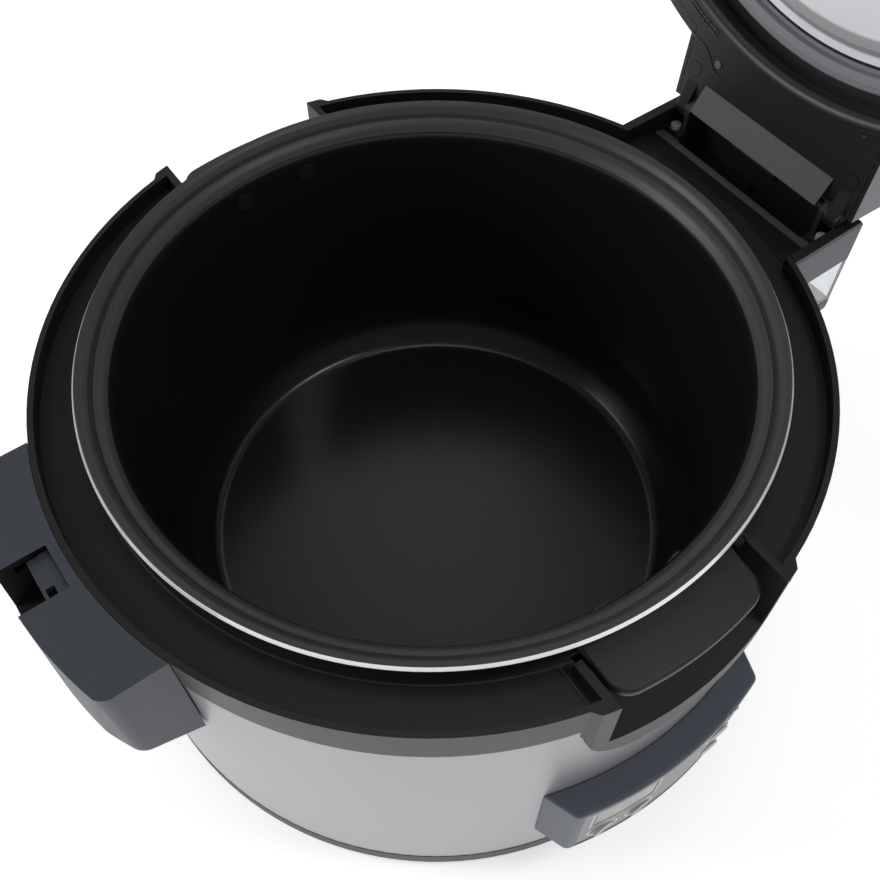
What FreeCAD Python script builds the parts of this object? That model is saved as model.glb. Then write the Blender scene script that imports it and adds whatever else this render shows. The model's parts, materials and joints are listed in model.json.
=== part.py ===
import FreeCAD, Part
import Sketcher
import math
import os

V = FreeCAD.Vector
UP = V(0, 0, 1)
ALONG_Y = FreeCAD.Rotation(V(1, 0, 0), -90)

# Sizes in millimetres. The pot comes first; the body and the lid are built out from it.
SIZES = (
    # pot
    ("pot_radius", "154"),
    ("pot_wall", "2.5"),
    ("pot_depth", "178"),
    ("pot_corner", "30"),
    ("pot_flange", "16"),
    ("pot_rise", "11"),
    ("handle_clear", "3.5"),
    ("handle_inset", "1.6"),
    ("handle_corner", "12"),
    ("handle_lift", "1.5"),
    ("rivet_radius", "2.5"),
    ("rivet_spread", "20.5"),
    ("rivet_drop", "12"),
    # base and steel shell
    ("foot_height", "7"),
    ("foot_radius", "13"),
    ("foot_inset", "27.6"),
    ("base_step", "0.3"),
    ("base_height", "13"),
    ("base_floor", "3"),
    ("shell_wall", "1"),
    ("vent_inner", "95"),
    ("vent_length", "35"),
    ("vent_width", "5"),
    ("gland_rise", "25"),
    # liner and heating parts
    ("liner_gap", "4"),
    ("liner_wall", "1"),
    ("liner_stand", "30"),
    ("plate_inset", "32"),
    ("plate_hole", "22"),
    ("plate_height", "9.2"),
    ("plate_stand", "11"),
    ("band_heater_rise", "26"),
    ("band_heater_height", "60"),
    ("sensor_radius", "18"),
    ("sensor_stem", "5"),
    # top ring with its ledge and the two finger scoops
    ("ledge_width", "22.6"),
    ("bore_clear", "6.5"),
    ("bead_offset", "5.5"),
    ("band_step", "0.6"),
    ("band_height", "24"),
    ("rim_wall", "3"),
    ("rim_height", "9.5"),
    ("ledge_wall", "2.5"),
    ("frame_proud", "3"),
    ("frame_half", "53.5"),
    ("frame_flare", "3.5"),
    ("frame_corner", "31"),
    ("lip_height", "17"),
    ("ear_wall", "8"),
    ("rib_wall", "4"),
    ("scoop_depth", "46"),
    ("scoop_wall", "3.5"),
    ("sill_drop", "7.5"),
    # control panel
    ("panel_depth", "15"),
    ("panel_half", "59.3"),
    ("panel_flare", "6.5"),
    ("panel_corner", "5"),
    ("panel_rise", "32"),
    ("panel_height", "66"),
    ("panel_border", "4.5"),
    ("face_wall", "1.6"),
    ("key_radius", "6"),
    # latch
    ("latch_half", "66.6"),
    ("latch_shift", "4.6"),
    ("latch_depth", "28.2"),
    ("latch_flare", "2.8"),
    ("latch_height", "61.3"),
    ("latch_slope", "14.7"),
    ("notch_half", "12.25"),
    ("notch_wall", "4.5"),
    ("catch_length", "10.2"),
    ("catch_drop", "4"),
    ("catch_height", "4"),
    # hinge and dew collector
    ("hinge_offset", "28.8"),
    ("hinge_rise", "2"),
    ("pin_radius", "3"),
    ("bracket_head", "6.6"),
    ("bracket_inset", "12"),
    ("bracket_wall", "3"),
    ("knuckle_radius", "6.5"),
    ("tray_room_half", "61"),
    ("tray_wall", "2.5"),
    ("tray_overhang", "7"),
    ("shelf_drop", "14"),
    ("shelf_back", "11"),
    ("drop_depth", "9.5"),
    ("skin_height", "29"),
    ("skin_wall", "2.8"),
    ("cup_height", "32.7"),
    ("cup_wall", "2.5"),
    # lid, drawn closed
    ("lid_seam", "0.5"),
    ("lid_wall", "2.5"),
    ("lid_side", "20.8"),
    ("lid_corner", "27"),
    ("lid_shoulder_inset", "23.2"),
    ("lid_height", "59.5"),
    ("lid_crown_radius", "1195"),
    ("lid_open_angle", "94"),
    ("liner_inset", "5.7"),
    ("liner_border", "13.5"),
    ("liner_skin", "2.5"),
    ("dish_depth", "14"),
    ("neck_height", "30.5"),
    ("neck_back", "3"),
    ("nose_half", "45"),
    ("nose_past", "0.6"),
    ("nose_height", "18.5"),
    ("ramp_inset", "2"),
    ("plate_margin", "21"),
    ("inner_plate_wall", "1.5"),
    ("gasket_width", "11.2"),
    ("vent_radius", "21"),
    ("stud_radius", "4"),
    # clearances
    ("seat_gap", "0.3"),
    ("running_gap", "0.05"),
)


class Dim:
    """A length: its number, and the sheet formula that gives it."""

    def __init__(self, number, text):
        self.number = number
        self.text = text

    def __add__(self, other):
        other = dim(other)
        return Dim(self.number + other.number, f"({self.text} + {other.text})")

    def __radd__(self, other):
        return dim(other) + self

    def __sub__(self, other):
        other = dim(other)
        return Dim(self.number - other.number, f"({self.text} - {other.text})")

    def __rsub__(self, other):
        return dim(other) - self

    def __mul__(self, other):
        other = dim(other)
        return Dim(self.number * other.number, f"({self.text} * {other.text})")

    def __rmul__(self, other):
        return dim(other) * self

    def __neg__(self):
        return Dim(-self.number, f"(0 - {self.text})")

    def __float__(self):
        return self.number


def dim(value):
    """A plain number as a length."""
    if isinstance(value, Dim):
        return value
    return Dim(float(value), f"({float(value)})")


def leg(longest, other):
    """The third side of a right triangle."""
    longest = dim(longest)
    other = dim(other)
    number = math.sqrt(longest.number**2 - other.number**2)
    return Dim(number, f"sqrt({longest.text} ^ 2 - {other.text} ^ 2)")


doc = FreeCAD.newDocument("RiceCooker")
sheet = doc.addObject("Spreadsheet::Sheet", "Sizes")
for row, (alias, number) in enumerate(SIZES, start=1):
    sheet.set(f"A{row}", alias)
    sheet.set(f"B{row}", number)
    sheet.setAlias(f"B{row}", alias)
doc.recompute()


class Sheet:
    """The sheet's cells as lengths, and the places that follow from them."""


d = Sheet()
for alias, number in SIZES:
    setattr(d, alias, Dim(float(sheet.get(alias)), f"Sizes.{alias}"))

# Heights from the table up to the rim
d.base_top = d.foot_height + d.base_height
d.floor_top = d.foot_height + d.base_floor
d.liner_bottom = d.floor_top + d.liner_stand
d.plate_bottom = d.liner_bottom + d.liner_wall + d.plate_stand
d.plate_top = d.plate_bottom + d.plate_height
d.pot_bottom = d.plate_top + d.seat_gap
d.pot_floor = d.pot_bottom + d.pot_wall
d.pot_rim_top = d.pot_floor + d.pot_depth
d.rim_top = d.pot_rim_top - d.pot_rise
d.ledge_top = d.rim_top - d.rim_height
d.band_bottom = d.rim_top - d.band_height
d.scoop_lip = d.rim_top - d.scoop_depth
d.frame_bottom = d.scoop_lip - d.lip_height
d.scoop_sill = d.ledge_top - d.sill_drop
d.handle_edge_top = d.ledge_top + d.handle_lift
d.rivet_height = d.rim_top - d.rivet_drop
d.panel_bottom = d.base_top + d.panel_rise
d.panel_top = d.panel_bottom + d.panel_height
d.latch_low = d.rim_top - d.latch_height
d.latch_root = d.latch_low - d.latch_slope
d.catch_top = d.rim_top - d.catch_drop
d.hinge_height = d.rim_top + d.hinge_rise
d.shelf_top = d.rim_top - d.shelf_drop
d.drop_floor = d.shelf_top - d.drop_depth
d.skin_bottom = d.rim_top - d.skin_height
d.cup_bottom = d.skin_bottom - d.cup_height
d.lid_bottom = d.rim_top + d.lid_seam
d.lid_side_top = d.lid_bottom + d.lid_side
d.lid_crown = d.lid_bottom + d.lid_height
d.ceiling = d.lid_bottom + d.dish_depth
d.neck_top = d.lid_bottom + d.neck_height
d.nose_top = d.lid_bottom + d.nose_height

# Radii from the pot outwards
d.pot_rim_radius = d.pot_radius + d.pot_flange
d.liner_radius = d.pot_radius + d.pot_wall + d.liner_gap
d.bore_radius = d.pot_radius + d.pot_wall + d.bore_clear
d.bead_radius = d.bore_radius + d.bead_offset
d.plate_radius = d.pot_radius - d.plate_inset
d.shell_radius = d.pot_rim_radius + d.ledge_width
d.base_radius = d.shell_radius + d.base_step
d.foot_circle = d.shell_radius - d.foot_inset
d.band_radius = d.shell_radius + d.band_step
d.frame_radius = d.band_radius + d.frame_proud
d.frame_root_half = d.frame_half + d.frame_flare
d.scoop_half = d.frame_half - d.ear_wall
d.handle_half = d.scoop_half - d.handle_clear
d.handle_reach = d.shell_radius - d.handle_inset
d.vent_outer = d.vent_inner + d.vent_length
d.panel_radius = d.shell_radius + d.panel_depth
d.panel_root_half = d.panel_half + d.panel_flare
d.latch_reach = d.band_radius + d.latch_depth
d.latch_low_reach = d.latch_reach + d.latch_flare
d.notch_back = d.band_radius + d.seat_gap + d.notch_wall
d.catch_reach = d.notch_back + d.seat_gap + d.catch_length
d.hinge_reach = d.band_radius + d.hinge_offset
d.tray_end = d.hinge_reach + d.tray_overhang + d.tray_wall
d.tray_half = d.tray_room_half + d.tray_wall + d.seat_gap + d.skin_wall
d.shelf_edge = d.hinge_reach - d.shelf_back
d.bracket_inner = d.tray_room_half - d.bracket_inset
d.ramp_half = d.bracket_inner - d.ramp_inset
d.drop_half = d.bracket_inner - 1
d.lid_radius = d.band_radius
d.lid_shoulder = d.lid_radius - d.lid_shoulder_inset
d.liner_rim = d.lid_radius - d.liner_inset
d.ridge_radius = d.liner_rim - d.liner_border
d.neck_half = d.tray_half - 0.1
d.neck_end = d.hinge_reach - d.neck_back
d.nose_reach = d.latch_reach + d.nose_past
d.inner_plate_radius = d.ridge_radius - d.plate_margin
d.gasket_radius = d.inner_plate_radius + d.gasket_width


def bind(item, name, length):
    """Tie a property to the sheet."""
    item.setExpression(name, dim(length).text)


def new_body(label):
    body = doc.addObject("PartDesign::Body", label)
    body.Label = label
    return body


def base_plane(body, role):
    return [f for f in body.Origin.OriginFeatures if f.Role == role][0]


def new_sketch(body, role, height, turn):
    """An empty sketch on one of the body's planes, raised and turned about the plane's normal."""
    sketch = body.newObject("Sketcher::SketchObject", f"{body.Name}_sketch")
    sketch.AttachmentSupport = (base_plane(body, role), [""])
    sketch.MapMode = "FlatFace"
    sketch.AttachmentOffset = FreeCAD.Placement(V(0, 0, float(height)), FreeCAD.Rotation(UP, turn))
    if isinstance(height, Dim):
        bind(sketch, "AttachmentOffset.Base.z", height)
    return sketch


def fix_point(sketch, curve, end, across, upward):
    """Hold one end of a curve at its distances from the sketch's origin."""
    for kind, axis, length in (("DistanceX", -2, across), ("DistanceY", -1, upward)):
        length = dim(length)
        if abs(length.number) < 1e-9:
            sketch.addConstraint(Sketcher.Constraint("PointOnObject", curve, end, axis))
            continue
        held = Sketcher.Constraint(kind, -1, 1, curve, end, length.number)
        bind(sketch, f"Constraints[{sketch.addConstraint(held)}]", length)


def arc_between(start, stop, radius):
    """An arc from start to stop; a positive radius has its centre on the left of the way."""
    chord = stop - start
    reach = math.sqrt(radius**2 - (chord.Length / 2) ** 2)
    left = V(-chord.y, chord.x, 0).normalize()
    centre = (start + stop) * 0.5 + left * math.copysign(reach, radius)
    first, last = (start, stop) if radius > 0 else (stop, start)
    angles = [math.atan2(p.y - centre.y, p.x - centre.x) for p in (first, last)]
    return Part.ArcOfCircle(Part.Circle(centre, UP, abs(radius)), *angles)


def outline(body, role, corners, height=0, turn=0):
    """A closed sketch. A third value in a corner is the radius of the run that leaves it."""
    sketch = new_sketch(body, role, height, turn)
    spots = [V(float(c[0]), float(c[1]), 0) for c in corners]
    ends = []
    for i, corner in enumerate(corners):
        start = spots[i]
        stop = spots[(i + 1) % len(spots)]
        if len(corner) == 2:
            sketch.addGeometry(Part.LineSegment(start, stop), False)
            ends.append((1, 2))
        else:
            radius = float(corner[2])
            sketch.addGeometry(arc_between(start, stop, radius), False)
            ends.append((1, 2) if radius > 0 else (2, 1))
    for i in range(len(corners)):
        following = (i + 1) % len(corners)
        joint = Sketcher.Constraint("Coincident", i, ends[i][1], following, ends[following][0])
        sketch.addConstraint(joint)
    for i, corner in enumerate(corners):
        fix_point(sketch, i, ends[i][0], corner[0], corner[1])
        if len(corner) == 3:
            radius = dim(corner[2])
            if radius.number < 0:
                radius = -radius
            curved = Sketcher.Constraint("Radius", i, radius.number)
            bind(sketch, f"Constraints[{sketch.addConstraint(curved)}]", radius)
    doc.recompute()
    return sketch


def circles(body, role, spots, radius, height=0, turn=0):
    """Equal circles in one sketch."""
    sketch = new_sketch(body, role, height, turn)
    radius = dim(radius)
    for i, (across, upward) in enumerate(spots):
        centre = V(float(across), float(upward), 0)
        sketch.addGeometry(Part.Circle(centre, UP, radius.number), False)
        if abs(centre.x) < 1e-9 and abs(centre.y) < 1e-9:
            sketch.addConstraint(Sketcher.Constraint("Coincident", i, 3, -1, 1))
        else:
            fix_point(sketch, i, 3, across, upward)
        round_size = Sketcher.Constraint("Radius", i, radius.number)
        bind(sketch, f"Constraints[{sketch.addConstraint(round_size)}]", radius)
    doc.recompute()
    return sketch


def rectangle(body, role, left, right, low, high, height=0, turn=0):
    corners = [(left, low), (right, low), (right, high), (left, high)]
    return outline(body, role, corners, height, turn)


def sector(body, inner, outer, inner_half, outer_half, height, turn=0):
    """A piece of ring that faces the front, with straight flanks."""
    corners = [
        (-inner_half, -leg(inner, inner_half)),
        (-outer_half, -leg(outer, outer_half), outer),
        (outer_half, -leg(outer, outer_half)),
        (inner_half, -leg(inner, inner_half), -inner),
    ]
    return outline(body, "XY_Plane", corners, height, turn)


def extrude(kind, body, sketch, length, symmetric=False, reverse=False):
    feature = body.newObject(f"PartDesign::{kind}", f"{body.Name}_{kind}")
    feature.Profile = sketch
    feature.Type = "Length"
    bind(feature, "Length", length)
    if symmetric:
        feature.SideType = "Symmetric"
    feature.Reversed = reverse
    doc.recompute()
    return feature


def pad(body, sketch, length, symmetric=False, reverse=False):
    """Add material and make sure that some was added."""
    before = body.Shape.Volume if body.Tip else 0.0
    feature = extrude("Pad", body, sketch, length, symmetric, reverse)
    if feature.Shape.Volume <= before:
        raise ValueError(f"{body.Label}: a pad added nothing")
    return feature


def pocket(body, sketch, length, symmetric=False, reverse=False):
    """Take material away and make sure that some was taken."""
    before = body.Shape.Volume
    feature = extrude("Pocket", body, sketch, length, symmetric, reverse)
    if feature.Shape.Volume >= before - 1e-6:
        raise ValueError(f"{body.Label}: a pocket took nothing")
    return feature


def spin(kind, body, sketch, angle=360):
    """Turn a profile round the body's axis."""
    feature = body.newObject(f"PartDesign::{kind}", f"{body.Name}_{kind}")
    feature.Profile = sketch
    feature.ReferenceAxis = (sketch, ["V_Axis"])
    feature.Angle = angle
    feature.Midplane = angle < 360
    doc.recompute()
    return feature


def turned(label, corners):
    """A body of revolution from a profile of radius and height."""
    body = new_body(label)
    spin("Revolution", body, outline(body, "XZ_Plane", corners))
    return body


def around(body, feature, count):
    """Repeat a feature round the body's axis."""
    pattern = body.newObject("PartDesign::PolarPattern", f"{body.Name}_around")
    pattern.Originals = [feature]
    pattern.Axis = (base_axis(body), [""])
    pattern.Angle = 360
    pattern.Occurrences = count
    body.Tip = pattern
    doc.recompute()
    return pattern


def base_axis(body):
    return [f for f in body.Origin.OriginFeatures if f.Role == "Z_Axis"][0]


def soften(body, radius, wanted):
    """Round every edge whose middle passes the test."""
    before = body.Tip
    names = []
    for i, edge in enumerate(before.Shape.Edges, start=1):
        middle = edge.valueAt((edge.FirstParameter + edge.LastParameter) / 2)
        if wanted(middle, edge):
            names.append(f"Edge{i}")
    if not names:
        raise ValueError(f"{body.Label}: no edge to round")
    feature = body.newObject("PartDesign::Fillet", f"{body.Name}_round")
    feature.Base = (before, names)
    bind(feature, "Radius", radius)
    doc.recompute()
    return feature


def near(one, other, slack=0.05):
    return abs(float(one) - float(other)) < slack


def box(left, right, front, back, low, high):
    """A block between six planes."""
    block = doc.addObject("Part::Box", "block")
    for name, start, stop in (("Length", left, right), ("Width", front, back), ("Height", low, high)):
        bind(block, name, dim(stop) - dim(start))
    for name, start in (("x", left), ("y", front), ("z", low)):
        bind(block, f"Placement.Base.{name}", start)
    return block


def rod(radius, low, high):
    """An upright cylinder on the axis."""
    cylinder = doc.addObject("Part::Cylinder", "rod")
    bind(cylinder, "Radius", radius)
    bind(cylinder, "Height", dim(high) - dim(low))
    bind(cylinder, "Placement.Base.z", low)
    return cylinder


def cross_rod(radius, front, back, across, upward):
    """A cylinder that lies along the depth of the cooker."""
    cylinder = doc.addObject("Part::Cylinder", "cross_rod")
    bind(cylinder, "Radius", radius)
    bind(cylinder, "Height", dim(back) - dim(front))
    cylinder.Placement = FreeCAD.Placement(V(0, 0, 0), ALONG_Y)
    bind(cylinder, "Placement.Base.x", across)
    bind(cylinder, "Placement.Base.y", front)
    bind(cylinder, "Placement.Base.z", upward)
    return cylinder


def placed(item, across, along, turn=0):
    """Shift an upright piece sideways and turn it about its own axis."""
    item.Placement = FreeCAD.Placement(item.Placement.Base, FreeCAD.Rotation(UP, turn))
    bind(item, "Placement.Base.x", across)
    bind(item, "Placement.Base.y", along)
    return item


def cut(label, base, *tools):
    """Base without the tools."""
    result = doc.addObject("Part::Cut", label)
    result.Base = base
    result.Tool = tools[0] if len(tools) == 1 else fuse(f"{label}_tools", *tools)
    result.Label = label
    doc.recompute()
    return result


def fuse(label, *parts):
    result = doc.addObject("Part::MultiFuse", label)
    result.Shapes = list(parts)
    result.Label = label
    doc.recompute()
    return result


def common(label, *parts):
    result = doc.addObject("Part::MultiCommon", label)
    result.Shapes = list(parts)
    result.Label = label
    doc.recompute()
    return result


def group(label, parts):
    """Like pieces kept as one sub-part."""
    result = doc.addObject("Part::Compound", label)
    result.Links = list(parts)
    result.Label = label
    doc.recompute()
    return result


def tube_part(label, inner, outer, left, right, low, high):
    """A piece of the wall of a tube that faces the front, between upright planes."""
    wall = cut(f"{label}_wall", rod(outer, low, high), rod(inner, low - dim(1), high + dim(1)))
    block = box(left, right, -outer - 1, 0, low, high)
    return common(label, wall, block)


nodes = []


def node(item):
    nodes.append(item)
    return item


# Shared places
shell_inner = d.shell_radius - d.shell_wall
wall_inner = d.band_radius - d.rim_wall
ledge_bottom = d.ledge_top - d.ledge_wall
lip_bottom = ledge_bottom - 3
liner_top = lip_bottom
bracket_outer = d.bracket_inner + d.bracket_wall
knuckle_inner = bracket_outer + d.seat_gap
knuckle_outer = d.tray_room_half - 0.5
bolt_along = bracket_outer + 4.5
scoop_block_half = d.scoop_half + 2.5
scoop_block_low = d.scoop_lip - 2.4
bolt_spots = [(d.hinge_reach - 6.5, -bolt_along), (d.hinge_reach - 6.5, bolt_along)]


# Base
def make_base():
    lip_outer = shell_inner - d.seat_gap
    pan = turned("base_pan", [
        (0, d.foot_height),
        (d.base_radius, d.foot_height),
        (d.base_radius, d.base_top),
        (lip_outer, d.base_top),
        (lip_outer, d.base_top + 6),
        (lip_outer - d.base_floor, d.base_top + 6),
        (lip_outer - d.base_floor, d.floor_top),
        (0, d.floor_top),
    ])
    half = d.vent_width * 0.5
    slot = rectangle(pan, "XY_Plane", d.vent_inner, d.vent_outer, -half, half, d.floor_top)
    around(pan, pocket(pan, slot, d.base_floor), 12)
    hole = circles(pan, "XY_Plane", [(d.foot_circle, 0)], 2.2, d.floor_top, 45)
    around(pan, pocket(pan, hole, d.base_floor), 4)
    node(pan)

    feet = []
    screws = []
    for quarter in range(4):
        angle = math.radians(45 + 90 * quarter)
        across = d.foot_circle * math.cos(angle)
        along = d.foot_circle * math.sin(angle)
        cone = doc.addObject("Part::Cone", "foot_cone")
        bind(cone, "Radius1", d.foot_radius - 2)
        bind(cone, "Radius2", d.foot_radius)
        bind(cone, "Height", d.foot_height)
        placed(cone, across, along)
        well = placed(rod(5.2, -1, 3.8), across, along)
        bore = placed(rod(2.2, 3, d.foot_height + 1), across, along)
        feet.append(cut("foot", cone, well, bore))
        head = placed(rod(4.6, 1.6, 3.8), across, along)
        shank = placed(rod(2, 3.8, d.floor_top + 3), across, along)
        screws.append(fuse("foot_screw", head, shank))
    node(group("rubber_feet", feet))
    node(group("foot_screws", screws))


def make_shell():
    shell = turned("outer_shell", [
        (shell_inner, d.base_top),
        (d.shell_radius, d.base_top),
        (d.shell_radius, d.band_bottom),
        (shell_inner, d.band_bottom),
    ])
    half = scoop_block_half + 0.4
    low = scoop_block_low - 0.4
    both = rectangle(shell, "XZ_Plane", -half, half, low, d.band_bottom + 1)
    pocket(shell, both, d.shell_radius * 2.2, symmetric=True)
    wires = rectangle(shell, "XZ_Plane", -18, 18, d.panel_bottom + 18, d.panel_top - 18)
    pocket(shell, wires, d.shell_radius + 5, reverse=True)
    gland = circles(shell, "XZ_Plane", [(0, d.base_top + d.gland_rise)], 8)
    pocket(shell, gland, d.shell_radius + 5)
    node(shell)


# Top ring: band, rim, ledge and finger scoops in one moulding
def make_top_ring():
    bead = d.ledge_top + 0.8
    ring = turned("top_ring", [
        (d.bore_radius, lip_bottom),
        (d.bore_radius, d.ledge_top),
        (d.bead_radius, d.ledge_top),
        (d.bead_radius, bead),
        (d.bead_radius + 1, bead),
        (d.bead_radius + 1, d.ledge_top),
        (wall_inner, d.ledge_top),
        (wall_inner, d.rim_top),
        (d.band_radius, d.rim_top),
        (d.band_radius, d.band_bottom),
        (wall_inner, d.band_bottom),
        (wall_inner, ledge_bottom),
        (d.bore_radius + d.ledge_wall, ledge_bottom),
        (d.bore_radius + d.ledge_wall, lip_bottom),
    ])
    add_scoops(ring)
    gate = rectangle(
        ring, "XY_Plane", d.bead_radius + 4, d.tray_end, -d.tray_room_half, d.tray_room_half, d.ledge_top
    )
    pocket(ring, gate, d.rim_top - d.ledge_top + 1, reverse=True)
    node(ring)


def add_scoops(ring):
    """Two pockets for the fingers, each with a frame that stands proud of the shell."""
    back = d.bore_radius + 1
    front = d.shell_radius + 0.4
    rib_half = d.scoop_half + d.rib_wall
    for side in (-1, 1):
        profile = [
            (side * back, d.scoop_sill - 13),
            (side * front, scoop_block_low),
            (side * front, d.scoop_sill),
            (side * back, d.scoop_sill),
        ]
        pad(ring, outline(ring, "YZ_Plane", profile), scoop_block_half * 2, symmetric=True)
        ribs = [
            (side * (back + 2), d.scoop_sill - 0.5),
            (side * front, d.scoop_sill - 0.5),
            (side * front, d.rim_top),
            (side * (back + 2), d.rim_top),
        ]
        pad(ring, outline(ring, "YZ_Plane", ribs), rib_half * 2, symmetric=True)
    beyond = [
        (d.band_radius, d.frame_bottom - 5),
        (d.frame_radius + 20, d.frame_bottom - 5),
        (d.frame_radius + 20, d.rim_top + 5),
        (d.band_radius, d.rim_top + 5),
    ]
    spin("Groove", ring, outline(ring, "XZ_Plane", beyond))
    for side in (-1, 1):
        turn = 0 if side < 0 else 180
        inner = d.shell_radius + 0.2
        plan = sector(ring, inner, d.frame_radius, d.frame_root_half, d.frame_half, d.frame_bottom, turn)
        pad(ring, plan, d.rim_top - d.frame_bottom)
        wall = back + d.scoop_wall
        reach = d.frame_radius + 3
        hollow = [
            (side * (d.bore_radius - 3), d.scoop_sill),
            (side * wall, d.scoop_sill),
            (side * wall, d.scoop_sill - 10),
            (side * d.frame_radius, d.scoop_lip),
            (side * reach, d.scoop_lip),
            (side * reach, d.rim_top + 1),
            (side * (d.bore_radius - 3), d.rim_top + 1),
        ]
        pocket(ring, outline(ring, "YZ_Plane", hollow), d.scoop_half * 2, symmetric=True)

    edge = d.frame_half + 2
    low = d.frame_bottom
    curve = d.frame_corner
    for side in (-1, 1):
        corner = [
            (side * (edge - curve), low - 1),
            (side * (edge + 4), low - 1),
            (side * (edge + 4), low + curve),
            (side * edge, low + curve, -side * curve),
            (side * (edge - curve), low),
        ]
        pocket(ring, outline(ring, "XZ_Plane", corner), d.frame_radius * 2.2, symmetric=True)

    run = rib_half + 2.2
    start = leg(d.bead_radius + 0.5, run)
    for side in (-1, 1):
        for way in (-1, 1):
            corners = [
                (way * run, side * start),
                (way * (run + 1), side * start),
                (way * (run + 1), side * (wall_inner - 1)),
                (way * run, side * (wall_inner - 1)),
            ]
            pad(ring, outline(ring, "XY_Plane", corners, d.ledge_top - 0.2), 1)


def make_hinge_tray():
    """The gutter behind the pot that carries the hinge and drains into the cup."""
    bottom = d.skin_bottom + 1.5
    half = d.tray_room_half + d.tray_wall
    room_end = d.hinge_reach + d.tray_overhang
    start = d.band_radius - 30
    tray = new_body("hinge_tray")
    pad(tray, rectangle(tray, "XY_Plane", start, d.tray_end, -half, half, bottom), d.rim_top - bottom)
    flange = rectangle(tray, "XY_Plane", start, d.tray_end, -d.tray_half, d.tray_half, d.rim_top - 2.5)
    pad(tray, flange, 2.5)
    body_room = circles(tray, "XY_Plane", [(0, 0)], d.band_radius + d.seat_gap, d.rim_top)
    pocket(tray, body_room, d.rim_top - bottom)
    slope = (d.ledge_top - d.shelf_top) * 0.45
    room = [
        (start, d.ledge_top),
        (wall_inner, d.ledge_top),
        (d.shelf_edge - 8, d.ledge_top - slope),
        (d.shelf_edge, d.shelf_top),
        (room_end, d.shelf_top),
        (room_end, d.rim_top + 1),
        (start, d.rim_top + 1),
    ]
    pocket(tray, outline(tray, "XZ_Plane", room), d.tray_room_half * 2, symmetric=True)
    drop = rectangle(tray, "XZ_Plane", d.shelf_edge, room_end, d.drop_floor, d.rim_top)
    pocket(tray, drop, d.drop_half * 2, symmetric=True)
    drain = circles(tray, "XY_Plane", [(d.hinge_reach + 3.4, 0)], 2.8, d.drop_floor)
    pocket(tray, drain, d.drop_floor - bottom)
    bolts = circles(tray, "XY_Plane", bolt_spots, 1.8, d.shelf_top)
    pocket(tray, bolts, 8)

    def brink(middle, edge):
        return near(middle.x, d.shelf_edge) and near(middle.z, d.shelf_top) and near(middle.y, 0)

    soften(tray, 2.5, brink)
    node(tray)


# Liner, heater and pot sensor
def make_heating():
    wall = d.liner_radius + d.liner_wall
    floor = d.liner_bottom + d.liner_wall
    flange = d.bore_radius + 5
    liner = turned("inner_liner", [
        (20, d.liner_bottom),
        (wall, d.liner_bottom),
        (wall, liner_top - d.liner_wall),
        (flange, liner_top - d.liner_wall),
        (flange, liner_top),
        (d.liner_radius, liner_top),
        (d.liner_radius, floor),
        (20, floor),
    ])
    half = d.frame_half + 1.5
    gate = rectangle(liner, "XZ_Plane", -half, half, d.scoop_sill - 2, liner_top + 1)
    pocket(liner, gate, d.bore_radius * 2.4, symmetric=True)
    node(liner)

    posts = []
    for third in range(3):
        angle = math.radians(30 + 120 * third)
        post = rod(6, d.floor_top, d.liner_bottom)
        reach = d.liner_radius - 15
        posts.append(placed(post, reach * math.cos(angle), reach * math.sin(angle)))
    node(group("liner_posts", posts))

    plate = turned("heating_plate", [
        (d.plate_hole, d.plate_bottom),
        (d.plate_radius, d.plate_bottom),
        (d.plate_radius, d.plate_top - 3),
        (d.plate_radius - 3, d.plate_top),
        (d.plate_hole, d.plate_top),
    ])
    leg_spot = circles(plate, "XY_Plane", [(d.plate_radius - 20, 0)], 7, floor)
    around(plate, pad(plate, leg_spot, d.plate_bottom - floor), 3)
    node(plate)
    node(turned("heater_element", [
        (d.plate_radius - 44, d.plate_bottom - 6),
        (d.plate_radius - 36, d.plate_bottom - 6),
        (d.plate_radius - 36, d.plate_bottom),
        (d.plate_radius - 44, d.plate_bottom),
    ]))

    band_inner = wall + d.seat_gap
    band_outer = band_inner + 1.5
    low = d.pot_floor + d.band_heater_rise
    high = low + d.band_heater_height
    node(turned("band_heater", [
        (band_inner, low),
        (band_outer, low),
        (band_outer, high),
        (band_inner, high),
    ]))
    node(turned("insulation_wrap", [
        (band_outer + d.seat_gap, d.liner_bottom + 5),
        (band_outer + 9, d.liner_bottom + 5),
        (band_outer + 9, d.frame_bottom - 8),
        (band_outer + d.seat_gap, d.frame_bottom - 8),
    ]))

    seat = d.liner_bottom - 7.5
    cap_inner = d.plate_top - 1.7
    node(turned("sensor_cap", [
        (0, d.liner_bottom - 10),
        (d.sensor_stem, d.liner_bottom - 10),
        (d.sensor_stem, cap_inner),
        (d.sensor_radius - 1.5, cap_inner),
        (d.sensor_radius - 1.5, d.plate_top - 8),
        (d.sensor_radius, d.plate_top - 8),
        (d.sensor_radius, d.plate_top),
        (0, d.plate_top),
    ]))
    node(turned("sensor_bracket", [
        (d.sensor_stem + d.seat_gap, seat - 2),
        (30, seat - 2),
        (30, d.liner_bottom),
        (28, d.liner_bottom),
        (28, seat),
        (d.sensor_stem + d.seat_gap, seat),
    ]))
    node(turned("sensor_spring", [
        (d.sensor_stem + 2, seat),
        (d.sensor_stem + 4, seat),
        (d.sensor_stem + 4, cap_inner),
        (d.sensor_stem + 2, cap_inner),
    ]))


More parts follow.
